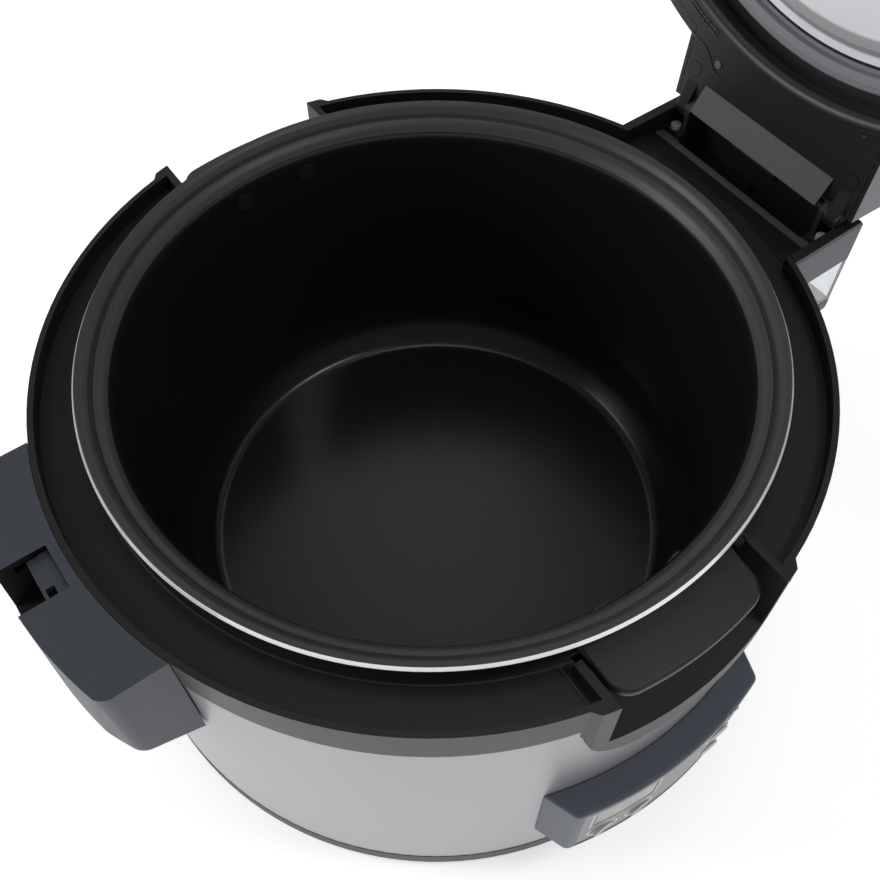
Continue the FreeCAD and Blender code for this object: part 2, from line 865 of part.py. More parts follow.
# Pot with handles and rivets
def radial_rod(radius, start, stop, angle, upward):
    """A cylinder that points away from the axis of the body."""
    cylinder = doc.addObject("Part::Cylinder", "radial_rod")
    bind(cylinder, "Radius", radius)
    bind(cylinder, "Height", dim(stop) - dim(start))
    ahead = V(math.cos(math.radians(angle)), math.sin(math.radians(angle)), 0)
    cylinder.Placement = FreeCAD.Placement(V(0, 0, 0), FreeCAD.Rotation(UP, ahead))
    bind(cylinder, "Placement.Base.x", dim(start) * ahead.x)
    bind(cylinder, "Placement.Base.y", dim(start) * ahead.y)
    bind(cylinder, "Placement.Base.z", upward)
    return cylinder


def rivet_angles(side):
    """The two rivets of the handle at the front (-1) or the rear (1)."""
    swing = math.degrees(math.asin(d.rivet_spread.number / d.pot_radius.number))
    return [side * 90 - swing, side * 90 + swing]


def make_pot():
    wall = d.pot_radius + d.pot_wall
    top = d.pot_rim_top
    rim = d.pot_rim_radius
    pot = turned("pot_shell", [
        (0, d.pot_floor),
        (d.pot_radius, d.pot_floor),
        (d.pot_radius, top - 14),
        (d.pot_radius + 0.8, top - 11),
        (d.pot_radius + 2.3, top - 9),
        (d.pot_radius + 4.6, top - 7.8),
        (rim - 8.6, top - 6.4),
        (rim - 7.4, top - 7.2),
        (rim - 6.9, top - 4.6),
        (rim - 5.8, top - 2.4),
        (rim - 4, top - 1.2),
        (rim - 1.6, top),
        (rim, top - 2.6),
        (rim - 0.8, top - 3.4),
        (rim - 3.2, top - 3.4),
        (rim - 6, top - 8),
        (wall + 2.4, top - 10.4),
        (wall, top - 15),
        (wall, d.pot_bottom),
        (0, d.pot_bottom),
    ])

    def outer_foot(middle, edge):
        return near(math.hypot(middle.x, middle.y), wall) and near(middle.z, d.pot_bottom)

    def inner_foot(middle, edge):
        return near(math.hypot(middle.x, middle.y), d.pot_radius) and near(middle.z, d.pot_floor)

    soften(pot, d.pot_corner + d.pot_wall, outer_foot)
    soften(pot, d.pot_corner, inner_foot)

    hug = wall + d.seat_gap + 0.2
    clamp = hug + 2.5
    hole = d.rivet_radius + d.running_gap
    pot_holes = []
    rivets = []
    for side, label in ((-1, "pot_handle_front"), (1, "pot_handle_rear")):
        holes = []
        for angle in rivet_angles(side):
            pot_holes.append(radial_rod(hole, d.pot_radius - 5, hug + 5, angle, d.rivet_height))
            holes.append(radial_rod(hole, d.pot_radius - 5, clamp + 5, angle, d.rivet_height))
            face = d.pot_radius - 0.15
            back = clamp + 0.1
            rivets.append(fuse(
                "rivet",
                radial_rod(5, face - 1.4, face, angle, d.rivet_height),
                radial_rod(d.rivet_radius, face - 1, back + 0.5, angle, d.rivet_height),
                radial_rod(3.6, back, back + 1.7, angle, d.rivet_height),
            ))
        node(cut(label, handle_blank(f"{label}_blank", side, hug, clamp), *holes))
    node(cut("inner_pot", pot, *pot_holes))
    node(group("pot_rivets", rivets))


def handle_blank(label, side, hug, clamp):
    """A flat grip that slopes down from the pot, with a flange that follows the wall."""
    grip = new_body(label)
    edge = d.handle_edge_top
    profile = [
        (-(hug - 3), edge + 4.2),
        (-d.handle_reach, edge),
        (-d.handle_reach, edge - 3.6),
        (-(hug - 3), edge + 0.6),
    ]
    pad(grip, outline(grip, "YZ_Plane", profile), d.handle_half * 2, symmetric=True)
    pocket(grip, circles(grip, "XY_Plane", [(0, 0)], hug, edge + 10), 20)
    past = d.handle_half + 6
    pocket(grip, sector(grip, d.handle_reach, d.handle_reach + 14, past, past, edge + 10), 20)

    def grip_corner(middle, edge_line):
        beside = near(abs(middle.x), d.handle_half)
        return beside and near(math.hypot(middle.x, middle.y), d.handle_reach)

    def grip_edge(middle, edge_line):
        outside = math.hypot(middle.x, middle.y) > float(d.pot_rim_radius)
        return outside and middle.z > float(edge) - 0.4

    soften(grip, d.handle_corner, grip_corner)
    soften(grip, 2, grip_edge)
    flange = rectangle(grip, "YZ_Plane", -clamp, -hug, d.scoop_sill - 0.8, edge + 2.8)
    spin("Revolution", grip, flange, 22)
    if side > 0:
        grip.Placement = FreeCAD.Placement(V(0, 0, 0), FreeCAD.Rotation(UP, 180))
    return grip


# Control panel on the front
edge_in = d.panel_half - 11.8
KEYS = (
    ("key_menu", 7 - edge_in, d.panel_bottom + 18),
    ("key_timer", 29 - edge_in, d.panel_bottom + 18),
    ("key_warm", edge_in - 16, d.panel_bottom + 20),
    ("key_cook", edge_in - 16, d.panel_top - 21),
)
LAMPS = ((edge_in, d.panel_bottom + 20), (edge_in, d.panel_top - 21))
LENS = (-edge_in, 35 - edge_in, d.panel_top - 33, d.panel_top - 11)


def make_panel():
    inner = d.shell_radius + d.seat_gap
    tall = d.panel_top - d.panel_bottom
    housing = new_body("control_housing")
    plan = sector(housing, inner, d.panel_radius, d.panel_root_half, d.panel_half, d.panel_bottom)
    pad(housing, plan, tall)

    def upright(middle, edge):
        return near(abs(middle.x), d.panel_half) and near(edge.Length, tall)

    def outer_rim(middle, edge):
        level = near(middle.z, d.panel_top) or near(middle.z, d.panel_bottom)
        return level and math.hypot(middle.x, middle.y) > float(inner) + 1

    soften(housing, d.panel_corner, upright)
    soften(housing, 2, outer_rim)
    face_outer = d.panel_radius - d.seat_gap
    face_inner = face_outer - d.face_wall
    recess = face_inner - d.seat_gap
    half = d.panel_half - d.panel_border
    high = d.panel_top - d.panel_border
    low = d.panel_bottom + d.panel_border
    pocket(housing, sector(housing, recess, d.panel_radius + 3, half, half, high), high - low)
    wall = d.panel_radius - 8.1
    room_half = edge_in + 1
    room = rectangle(
        housing, "XY_Plane", -room_half, room_half, -wall, -(inner - 8), d.panel_top - 5
    )
    pocket(housing, room, tall - 10)
    spots = [(x, z) for label, x, z in KEYS]
    reach = d.panel_radius + 5
    pocket(housing, circles(housing, "XZ_Plane", spots, d.key_radius + 0.3), reach, reverse=True)
    node(housing)

    face = new_body("panel_face")
    trim = half - d.seat_gap
    plan = sector(face, face_inner, face_outer, trim, trim, low + d.seat_gap)
    pad(face, plan, high - low - d.seat_gap * 2)
    pocket(face, circles(face, "XZ_Plane", spots, d.key_radius + 0.3), reach, reverse=True)
    pocket(face, circles(face, "XZ_Plane", LAMPS, 2.3), reach, reverse=True)
    window = rectangle(face, "XZ_Plane", *LENS)
    pocket(face, window, reach, reverse=True)
    node(face)

    left, right, bottom, top = LENS
    slack = d.seat_gap
    node(tube_part(
        "display_lens", face_inner, face_outer - 0.2,
        left + slack, right - slack, bottom + slack, top - slack,
    ))
    lamps = []
    for x, z in LAMPS:
        back = leg(recess, x) + 0.5
        lamps.append(cross_rod(2, -(leg(face_outer, x) + 0.6), -back, x, z))
    node(group("lamp_lenses", lamps))
    for label, x, z in KEYS:
        proud = leg(face_outer, x) + 1.2
        cap = cross_rod(d.key_radius, -proud, -(wall - 1), x, z)
        collar = cross_rod(d.key_radius + 1.2, -(wall - 0.3), -(wall - 1.9), x, z)
        node(fuse(label, cap, collar))
    board = d.shell_radius + 2
    board_half = room_half - 0.2
    board_plate = box(
        -board_half, board_half, -board, -board + 1.6, d.panel_bottom + 8, d.panel_top - 8
    )
    board_plate.Label = "control_board"
    node(board_plate)


# Latch block on the left
def make_latch():
    inner = d.band_radius + d.seat_gap
    aside = FreeCAD.Placement(V(0, 0, 0), FreeCAD.Rotation(UP, -90))
    housing = new_body("latch_housing")
    profile = [
        (-inner, d.latch_root),
        (-d.latch_low_reach, d.latch_low),
        (-d.latch_reach, d.rim_top),
        (-inner, d.rim_top),
    ]
    spin("Revolution", housing, outline(housing, "YZ_Plane", profile), 58)

    def low_edge(middle, edge):
        out = near(math.hypot(middle.x, middle.y), d.latch_low_reach, 0.3)
        return out and near(middle.z, d.latch_low, 0.3) and edge.Length > 50

    soften(housing, 10, low_edge)
    reach = d.latch_low_reach + 5
    middle = d.latch_shift
    for side in (-1, 1):
        flank = [
            (middle + side * d.latch_half, -reach),
            (middle + side * (d.latch_half + 60), -reach),
            (middle + side * (d.latch_half + 60), -(inner - 90)),
            (middle + side * d.latch_half, -(inner - 90)),
        ]
        sketch = outline(housing, "XY_Plane", flank, d.rim_top + 1)
        pocket(housing, sketch, d.rim_top - d.latch_root + 5)
    notch = [
        (-d.notch_back, d.rim_top + 1),
        (-d.notch_back, d.rim_top - 24),
        (-reach, d.rim_top - 32),
        (-reach, d.rim_top + 1),
    ]
    pocket(housing, outline(housing, "YZ_Plane", notch, middle), d.notch_half * 2, symmetric=True)
    catch_low = d.catch_top - d.catch_height
    low = catch_low - 0.2
    high = d.catch_top + 0.2
    groove = rectangle(
        housing, "YZ_Plane", -(d.notch_back + 16), -d.notch_back, low, high, middle
    )
    pocket(housing, groove, (d.notch_half + 2.2) * 2, symmetric=True)
    housing.Placement = aside
    node(housing)

    catch = new_body("latch_catch")
    slim = d.notch_half - d.seat_gap
    start = d.notch_back + d.seat_gap
    left = middle - slim
    plate = rectangle(catch, "XY_Plane", left, middle + slim, -d.catch_reach, -start, catch_low)
    pad(catch, plate, d.catch_height)
    wide = d.notch_half + 1.9
    left = middle - wide
    rails = rectangle(catch, "XY_Plane", left, middle + wide, -(start + 5), -start, catch_low)
    pad(catch, rails, d.catch_height)
    tip = d.catch_reach - 1.5
    slot = rectangle(catch, "XY_Plane", middle + 5, middle + 9.6, -tip, -(tip - 4), d.catch_top)
    pocket(catch, slot, d.catch_height)
    catch.Placement = aside
    node(catch)


# Hinge and the parts round it
def span(side, near_end, far_end):
    """The lower and upper end of a run on the front (-1) or the rear (1) side."""
    if side < 0:
        return -far_end, -near_end
    return near_end, far_end


def make_hinge():
    room_end = d.hinge_reach + d.tray_overhang
    head = d.bracket_head
    foot_top = d.shelf_top + 2.5
    pin_hole = d.pin_radius + 0.03
    bolts = []
    for side, label in ((-1, "hinge_bracket_front"), (1, "hinge_bracket_rear")):
        near_y, far_y = span(side, d.bracket_inner, knuckle_outer)
        foot = box(d.shelf_edge + 0.5, room_end - 0.4, near_y, far_y, d.shelf_top, foot_top)
        thin, thick = span(side, d.bracket_inner, bracket_outer)
        left = d.hinge_reach - head
        upright = box(left, d.hinge_reach + head, thin, thick, d.shelf_top, d.hinge_height)
        eye = cross_rod(head, thin, thick, d.hinge_reach, d.hinge_height)
        blank = fuse(f"{label}_blank", foot, upright, eye)
        bore = cross_rod(pin_hole, thin - 1, thick + 1, d.hinge_reach, d.hinge_height)
        across, along = bolt_spots[0 if side < 0 else 1]
        hole = placed(rod(1.8, d.shelf_top - 1, foot_top + 1), across, along)
        node(cut(label, blank, bore, hole))
        bolt_head = placed(rod(3, foot_top, foot_top + 2.5), across, along)
        shank = placed(rod(1.7, d.shelf_top - 7.5, foot_top + 1), across, along)
        bolts.append(fuse("hinge_bolt", bolt_head, shank))
    node(group("hinge_screws", bolts))
    pin_end = d.tray_room_half - 0.2
    pin = cross_rod(d.pin_radius, -pin_end, pin_end, d.hinge_reach, d.hinge_height)
    pin.Label = "hinge_pin"
    node(pin)
    coil = cross_rod(d.pin_radius + 2.3, -16, 16, d.hinge_reach, d.hinge_height)
    room = cross_rod(d.pin_radius + 0.5, -17, 17, d.hinge_reach, d.hinge_height)
    node(cut("hinge_spring", coil, room))


def make_collector():
    """The slate skin round the tray, the clear cup below it and the shelf that carries the cup."""
    start = d.band_radius - 40
    inner_end = d.tray_end + d.seat_gap
    skin_end = d.tray_end + d.skin_wall
    inside = d.tray_room_half + d.tray_wall + d.seat_gap
    skin = new_body("hinge_housing")
    plan = [
        (start, -d.tray_half),
        (skin_end, -d.tray_half),
        (skin_end, d.tray_half),
        (start, d.tray_half),
        (start, inside),
        (inner_end, inside),
        (inner_end, -inside),
        (start, -inside),
    ]
    skin_top = d.rim_top - 2.7
    pad(skin, outline(skin, "XY_Plane", plan, d.skin_bottom), skin_top - d.skin_bottom)
    body_room = circles(skin, "XY_Plane", [(0, 0)], d.band_radius + d.seat_gap, skin_top + 1)
    pocket(skin, body_room, skin_top - d.skin_bottom + 2)
    node(skin)

    cup_top = d.skin_bottom - d.seat_gap
    half = d.tray_half - d.seat_gap
    end = skin_end - d.seat_gap
    near_wall = d.band_radius + 0.7
    block = cut(
        "cup_block",
        box(start, end, -half, half, d.cup_bottom, cup_top),
        rod(near_wall, d.cup_bottom - 1, cup_top + 1),
    )
    room_half = half - d.cup_wall
    room = cut(
        "cup_room",
        box(start, end - d.cup_wall, -room_half, room_half, d.cup_bottom + d.cup_wall, cup_top + 1),
        rod(near_wall + d.cup_wall, d.cup_bottom, cup_top + 2),
    )
    node(cut("dew_collector", block, room))

    shelf_top = d.cup_bottom - 0.2
    shelf = new_body("collector_shelf")
    side_view = [
        (start, shelf_top - 22),
        (skin_end, shelf_top - 8),
        (skin_end, shelf_top),
        (start, shelf_top),
    ]
    pad(shelf, outline(shelf, "XZ_Plane", side_view), d.tray_half * 2, symmetric=True)
    body_room = circles(shelf, "XY_Plane", [(0, 0)], d.shell_radius + 0.6, shelf_top + 1)
    pocket(shelf, body_room, 30)
    node(shelf)

    gland_height = d.base_top + d.gland_rise
    face = d.shell_radius + 0.4
    collar = cross_rod(11, face, face + 4, 0, gland_height)
    sleeve = cross_rod(7.7, face - 9, face + 1, 0, gland_height)
    bore = cross_rod(4.25, face - 12, face + 6, 0, gland_height)
    flare = cross_rod(5.5, face - 12, face, 0, gland_height)
    hollow = fuse("gland_hollow", bore, flare)
    node(cut("cord_gland", fuse("gland_blank", collar, sleeve), hollow))


# Lid, drawn closed and then turned open about the hinge pin
open_pose = FreeCAD.Placement(
    V(0, 0, 0),
    FreeCAD.Rotation(V(0, 1, 0), d.lid_open_angle.number),
    V(d.hinge_reach.number, 0, d.hinge_height.number),
)


def lid_node(item):
    item.Placement = open_pose
    doc.recompute()
    return node(item)


def make_lid_shell():
    wall = d.lid_wall
    radius = d.lid_radius
    edge = d.liner_rim + d.seat_gap
    dome = d.lid_crown_radius
    dome_centre = d.lid_crown - dome
    shoulder_top = dome_centre + leg(dome, d.lid_shoulder)
    under = dome - wall
    shell = turned("lid_shell", [
        (edge, d.lid_bottom),
        (radius, d.lid_bottom),
        (radius, d.lid_side_top, d.lid_corner),
        (d.lid_shoulder, shoulder_top, dome),
        (d.vent_radius, dome_centre + leg(dome, d.vent_radius)),
        (d.vent_radius, dome_centre + leg(under, d.vent_radius), -under),
        (d.lid_shoulder - 0.35, dome_centre + leg(under, d.lid_shoulder - 0.35), -(d.lid_corner - wall)),
        (radius - wall, d.lid_side_top),
        (radius - wall, d.lid_bottom + wall),
        (edge, d.lid_bottom + wall),
    ])
    root = d.ridge_radius + 4
    neck = rectangle(shell, "XY_Plane", root, d.neck_end, -d.neck_half, d.neck_half, d.lid_bottom)
    pad(shell, neck, d.neck_top - d.lid_bottom)
    half = d.neck_half - 2.4
    room = rectangle(shell, "XY_Plane", root - 26, d.neck_end - wall, -half, half, d.lid_bottom)
    pocket(shell, room, d.neck_top - d.lid_bottom - wall, reverse=True)
    hinge_room = rectangle(
        shell, "XZ_Plane", d.neck_end - 6, d.neck_end + 1, d.lid_bottom - 1, d.hinge_height + 8
    )
    pocket(shell, hinge_room, (d.tray_room_half + 0.2) * 2, symmetric=True)
    nose = sector(shell, d.liner_rim + 1.5, d.nose_reach, d.nose_half, d.nose_half, d.lid_bottom, -90)
    pad(shell, nose, d.nose_top - d.lid_bottom)
    narrow = d.nose_half - wall
    room = sector(shell, d.ridge_radius - 4, d.nose_reach - wall, narrow, narrow, d.lid_bottom, -90)
    pocket(shell, room, d.nose_top - d.lid_bottom - wall, reverse=True)
    lid_node(shell)


PLUGS = [(d.hinge_reach - 23.5, side * (d.bracket_inner + 8)) for side in (-1, 1)]
screw_circle = d.ridge_radius + 6.7
LINER_SCREWS = [(d.hinge_reach - 34, d.ramp_half - 4)] + [
    (screw_circle * -0.885, screw_circle * 0.465 * side) for side in (-1, 1)
]


def make_lid_liner():
    roof = d.ceiling + 2.5
    liner = turned("lid_liner", [
        (0, d.ceiling - 9.5),
        (d.stud_radius, d.ceiling - 9.5),
        (d.stud_radius, d.ceiling),
        (d.ridge_radius, d.ceiling),
        (d.ridge_radius, d.lid_bottom),
        (d.liner_rim, d.lid_bottom),
        (d.liner_rim, d.lid_bottom + 9.5),
        (d.liner_rim - 2.5, d.lid_bottom + 9.5),
        (d.liner_rim - 2.5, d.lid_bottom + 2.5),
        (d.ridge_radius + 2.5, d.lid_bottom + 2.5),
        (d.ridge_radius + 2.5, roof),
        (0, roof),
    ])
    root = d.ridge_radius + 2
    half = d.neck_half - 2.7
    end = d.neck_end - d.lid_wall - d.seat_gap
    neck = rectangle(liner, "XY_Plane", root, end, -half, half, d.lid_bottom)
    pad(liner, neck, 3)
    web = rectangle(
        liner, "XZ_Plane", d.hinge_reach - 12, d.hinge_reach, d.lid_bottom, d.hinge_height + 5
    )
    pad(liner, web, knuckle_outer * 2, symmetric=True)
    axis = [(d.hinge_reach, d.hinge_height)]
    pad(liner, circles(liner, "XZ_Plane", axis, d.knuckle_radius), knuckle_outer * 2, symmetric=True)
    bracket_room = circles(liner, "XZ_Plane", axis, d.bracket_head + 0.6)
    pocket(liner, bracket_room, knuckle_inner * 2, symmetric=True)
    pin_room = circles(liner, "XZ_Plane", axis, d.pin_radius + d.running_gap)
    pocket(liner, pin_room, d.tray_half * 2, symmetric=True)
    ramp = [
        (d.hinge_reach - 19, d.lid_bottom + 0.5),
        (d.hinge_reach - 17.4, d.lid_bottom - 0.7),
        (d.hinge_reach - 4.4, d.hinge_height - 9.3),
        (d.hinge_reach - 3.6, d.hinge_height - 7.4),
        (d.hinge_reach - 15.5, d.lid_bottom + 0.5),
    ]
    pad(liner, outline(liner, "XZ_Plane", ramp), d.ramp_half * 2, symmetric=True)
    pocket(liner, circles(liner, "XY_Plane", PLUGS, 4.4, d.lid_bottom), 1.2, reverse=True)
    pocket(liner, circles(liner, "XY_Plane", LINER_SCREWS, 1.2, d.lid_bottom), 5, reverse=True)

    def ridge(middle, edge):
        inside = near(math.hypot(middle.x, middle.y), d.ridge_radius)
        return inside and near(middle.z, d.lid_bottom)

    soften(liner, 2, ridge)
    lid_node(liner)

    plugs = [placed(rod(4.1, d.lid_bottom - 0.2, d.lid_bottom + 1), x, y) for x, y in PLUGS]
    lid_node(group("arm_plugs", plugs))
    screws = []
    for x, y in LINER_SCREWS:
        head = placed(rod(2.2, d.lid_bottom - 0.6, d.lid_bottom), x, y)
        shank = placed(rod(1.1, d.lid_bottom - 0.3, d.lid_bottom + 4), x, y)
        screws.append(fuse("liner_screw", head, shank))
    lid_node(group("liner_screws", screws))


def make_inner_plate():
    rim = d.inner_plate_radius
    wall = d.inner_plate_wall
    high = d.ceiling - 3.3
    low = high - 3.6
    hole = d.stud_radius + 3
    lid_node(turned("lid_inner_plate", [
        (hole, low),
        (rim - 10, low),
        (rim - 5, high),
        (rim, high),
        (rim, high + wall),
        (rim - 5.6, high + wall),
        (rim - 10.6, low + wall),
        (hole, low + wall),
    ]))
    out = d.gasket_radius
    lid_node(turned("lid_gasket", [
        (rim + d.seat_gap, high + 0.8),
        (rim + 2.6, high + 0.8),
        (rim + 3, high - 2.3),
        (rim + 7, high - 2.9),
        (out - 1.2, high - 2.7),
        (out, high - 1.6),
        (out - 1, high + 2.4),
        (rim + d.seat_gap, high + 2.4),
    ]))
    bore = d.stud_radius + d.running_gap
    lid_node(turned("plate_grommet", [
        (bore, low - 1.6),
        (hole + 4, low - 1.6),
        (hole + 4, low - 0.2),
        (hole - 0.2, low - 0.2),
        (hole - 0.2, low + wall + 0.2),
        (hole + 3, low + wall + 0.2),
        (hole + 3, low + wall + 2.4),
        (bore, low + wall + 2.4),
    ]))


def make_lid_fittings():
    hook_half = dim(9)
    out = leg(d.nose_reach - d.lid_wall - d.seat_gap, d.latch_shift + hook_half)
    foot = d.rim_top - 15
    toe = d.catch_reach + 0.7
    catch_low = d.catch_top - d.catch_height
    hook = new_body("lid_hook")
    profile = [
        (-out, foot),
        (-(toe + 1.8), foot),
        (-toe, foot + 3),
        (-toe, catch_low - 0.6),
        (-(out - 4.2), catch_low - 0.6),
        (-(out - 4.2), d.nose_top - d.lid_wall),
        (-out, d.nose_top - d.lid_wall),
    ]
    pad(hook, outline(hook, "XZ_Plane", profile, d.latch_shift), hook_half * 2, symmetric=True)
    lid_node(hook)

    crown = d.lid_crown
    stem = d.vent_radius - 0.4
    vent = turned("steam_vent", [
        (0, crown - 14),
        (stem, crown - 14),
        (stem, crown + 0.4),
        (stem + 4.4, crown + 0.4),
        (stem + 4.4, crown + 5),
        (stem + 1.4, crown + 8),
        (0, crown + 8),
    ])
    slot = rectangle(vent, "XY_Plane", 6, 15, -1.5, 1.5, crown + 8)
    around(vent, pocket(vent, slot, 3), 8)
    lid_node(vent)

    roof = d.ceiling + 2.5
    lid_node(turned("lid_insulation", [
        (0, roof + d.seat_gap),
        (d.ridge_radius - 9, roof + d.seat_gap),
        (d.ridge_radius - 9, roof + 12),
        (0, roof + 12),
    ]))


make_base()
make_shell()
make_top_ring()
make_hinge_tray()
make_heating()
make_pot()
make_panel()
make_latch()
make_hinge()
make_collector()
make_lid_shell()
make_lid_liner()
make_inner_plate()
make_lid_fittings()

doc.recompute()
bad = [o.Label for o in doc.Objects if "Invalid" in o.State or "Error" in o.State]
if bad:
    raise ValueError(f"objects in error: {bad}")
os.makedirs("parts", exist_ok=True)
for item in nodes:
    shape = item.Shape
    if shape.isNull() or not shape.isValid():
        raise ValueError(f"{item.Label} has no valid shape")
    shape.exportStep(f"parts/{item.Label}.step")
    print(item.Label, len(shape.Solids), round(shape.Volume), shape.BoundBox)
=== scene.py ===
import json
import math

import bmesh
import bpy
from mathutils import Matrix, Vector


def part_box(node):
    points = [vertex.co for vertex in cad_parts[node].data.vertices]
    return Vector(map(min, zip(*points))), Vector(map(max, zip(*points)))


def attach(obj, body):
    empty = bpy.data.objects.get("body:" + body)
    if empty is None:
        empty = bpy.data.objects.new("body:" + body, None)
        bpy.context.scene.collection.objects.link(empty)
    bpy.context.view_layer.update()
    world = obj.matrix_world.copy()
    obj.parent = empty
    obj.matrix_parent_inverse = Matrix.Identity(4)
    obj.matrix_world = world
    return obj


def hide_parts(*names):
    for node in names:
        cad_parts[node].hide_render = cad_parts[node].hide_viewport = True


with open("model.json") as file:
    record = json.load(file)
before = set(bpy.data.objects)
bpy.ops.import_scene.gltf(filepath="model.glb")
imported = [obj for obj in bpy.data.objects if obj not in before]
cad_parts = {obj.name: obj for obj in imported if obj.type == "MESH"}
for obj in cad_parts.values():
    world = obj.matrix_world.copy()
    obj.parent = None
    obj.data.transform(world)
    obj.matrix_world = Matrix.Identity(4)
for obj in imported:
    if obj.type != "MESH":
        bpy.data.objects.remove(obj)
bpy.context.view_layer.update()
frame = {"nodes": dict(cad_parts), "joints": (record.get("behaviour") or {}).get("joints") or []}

bl_info = {
    "name": "Large rice cooker",
    "version": (1, 0, 0),
    "blender": (4, 5, 0),
    "location": "View3D > Sidebar > Cooker",
    "description": "Dresses the solids of a large rice cooker with an open lid",
    "category": "Add Mesh",
}

MM = 0.001
MERGE = 0.001 * MM
TOUCH = 0.1 * MM
POT_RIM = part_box("inner_pot")[1]
RING_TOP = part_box("top_ring")[1].z
LID_HINGE = next(j for j in frame["joints"] if j["name"] == "lid_hinge")
HINGE_POINT = Vector(LID_HINGE["pos_m"])
LID_SWING = math.radians(-LID_HINGE["range_deg"][0])
OPEN_LID = (
    Matrix.Translation(HINGE_POINT)
    @ Matrix.Rotation(LID_SWING, 4, "Y")
    @ Matrix.Translation(-HINGE_POINT)
)
KEYS = ("key_menu", "key_timer", "key_warm", "key_cook")

# Profiles in mm: radius, height and rounding, measured from the edges that each is placed on
POT_FOOT = ((-19, 0, 3.6), (-3, 16.5, 10), (0, 32, 8))
POT_SHOULDER = ((0, -14, 3), (4.6, -7.8, 2))
POT_FLANGE = (
    (-8.6, -6.4, 0.6), (-7.4, -7.2, 0.4), (-6.9, -4.6, 0.8), (-4.4, -1.4, 1.4), (-1.6, 0, 0.3),
    (-1.2, -0.65, 0), (0, -2.6, 0.3), (-0.8, -3.4, 0.3), (-3.2, -3.4, 1), (-6, -8, 1),
)
POT_NECK = ((2.4, -10.4, 1.4), (0, -15, 2))
LID_RIDGE = ((-1.8, 9, 0.5), (-1.8, -0.3, 4.6), (3.8, -0.3, 0.2), (3.8, 1, 0), (1, 1, 0), (1, 9, 0))

# Wavy line under the lid's neck in mm, from its end to its middle
LID_WAVE = (
    (181, 66), (183, 56), (187, 50), (192, 46.5), (195, 42), (192.5, 34), (190, 26), (193, 13),
)
LID_WAVE_MIDDLE = (194.5, 0)

# Slot lines beside it: mm beyond the ridge, and degrees from the hinge
LID_SLOTS = (5, 7.4)
LID_SLOT_START = 15.5
LID_SLOT_TURN = 8

# Soft lights: place, size, the setting that gives the power, and the share of it
LAMPS = {
    "over": ((0.48, 0.68, 1.45), 0.6, "key", 0.25),
    "front": ((0.45, -0.62, 1.65), 0.30, "key", 1.1),
    "top": ((0.12, 0.14, 1.95), 0.45, "key", 0.45),
    "side": ((-1.35, 0.95, 1.05), 0.8, "side", 1),
}
SKY_LOW = 0.1
SKY_HIGH = 0.5


def length(name, description, default):
    return bpy.props.FloatProperty(
        name=name, description=description, default=default, unit="LENGTH", precision=4
    )


def angle(name, description, degrees):
    return bpy.props.FloatProperty(
        name=name, description=description, default=math.radians(degrees), subtype="ANGLE"
    )


def strength(name, description, default):
    return bpy.props.FloatProperty(
        name=name, description=description, default=default, subtype="FACTOR", min=0, max=2
    )


def power(name, description, default):
    return bpy.props.FloatProperty(
        name=name, description=description, default=default, unit="POWER", min=0
    )


def colour(name, description, default):
    return bpy.props.FloatVectorProperty(
        name=name, description=description, default=default, subtype="COLOR", min=0, max=1
    )


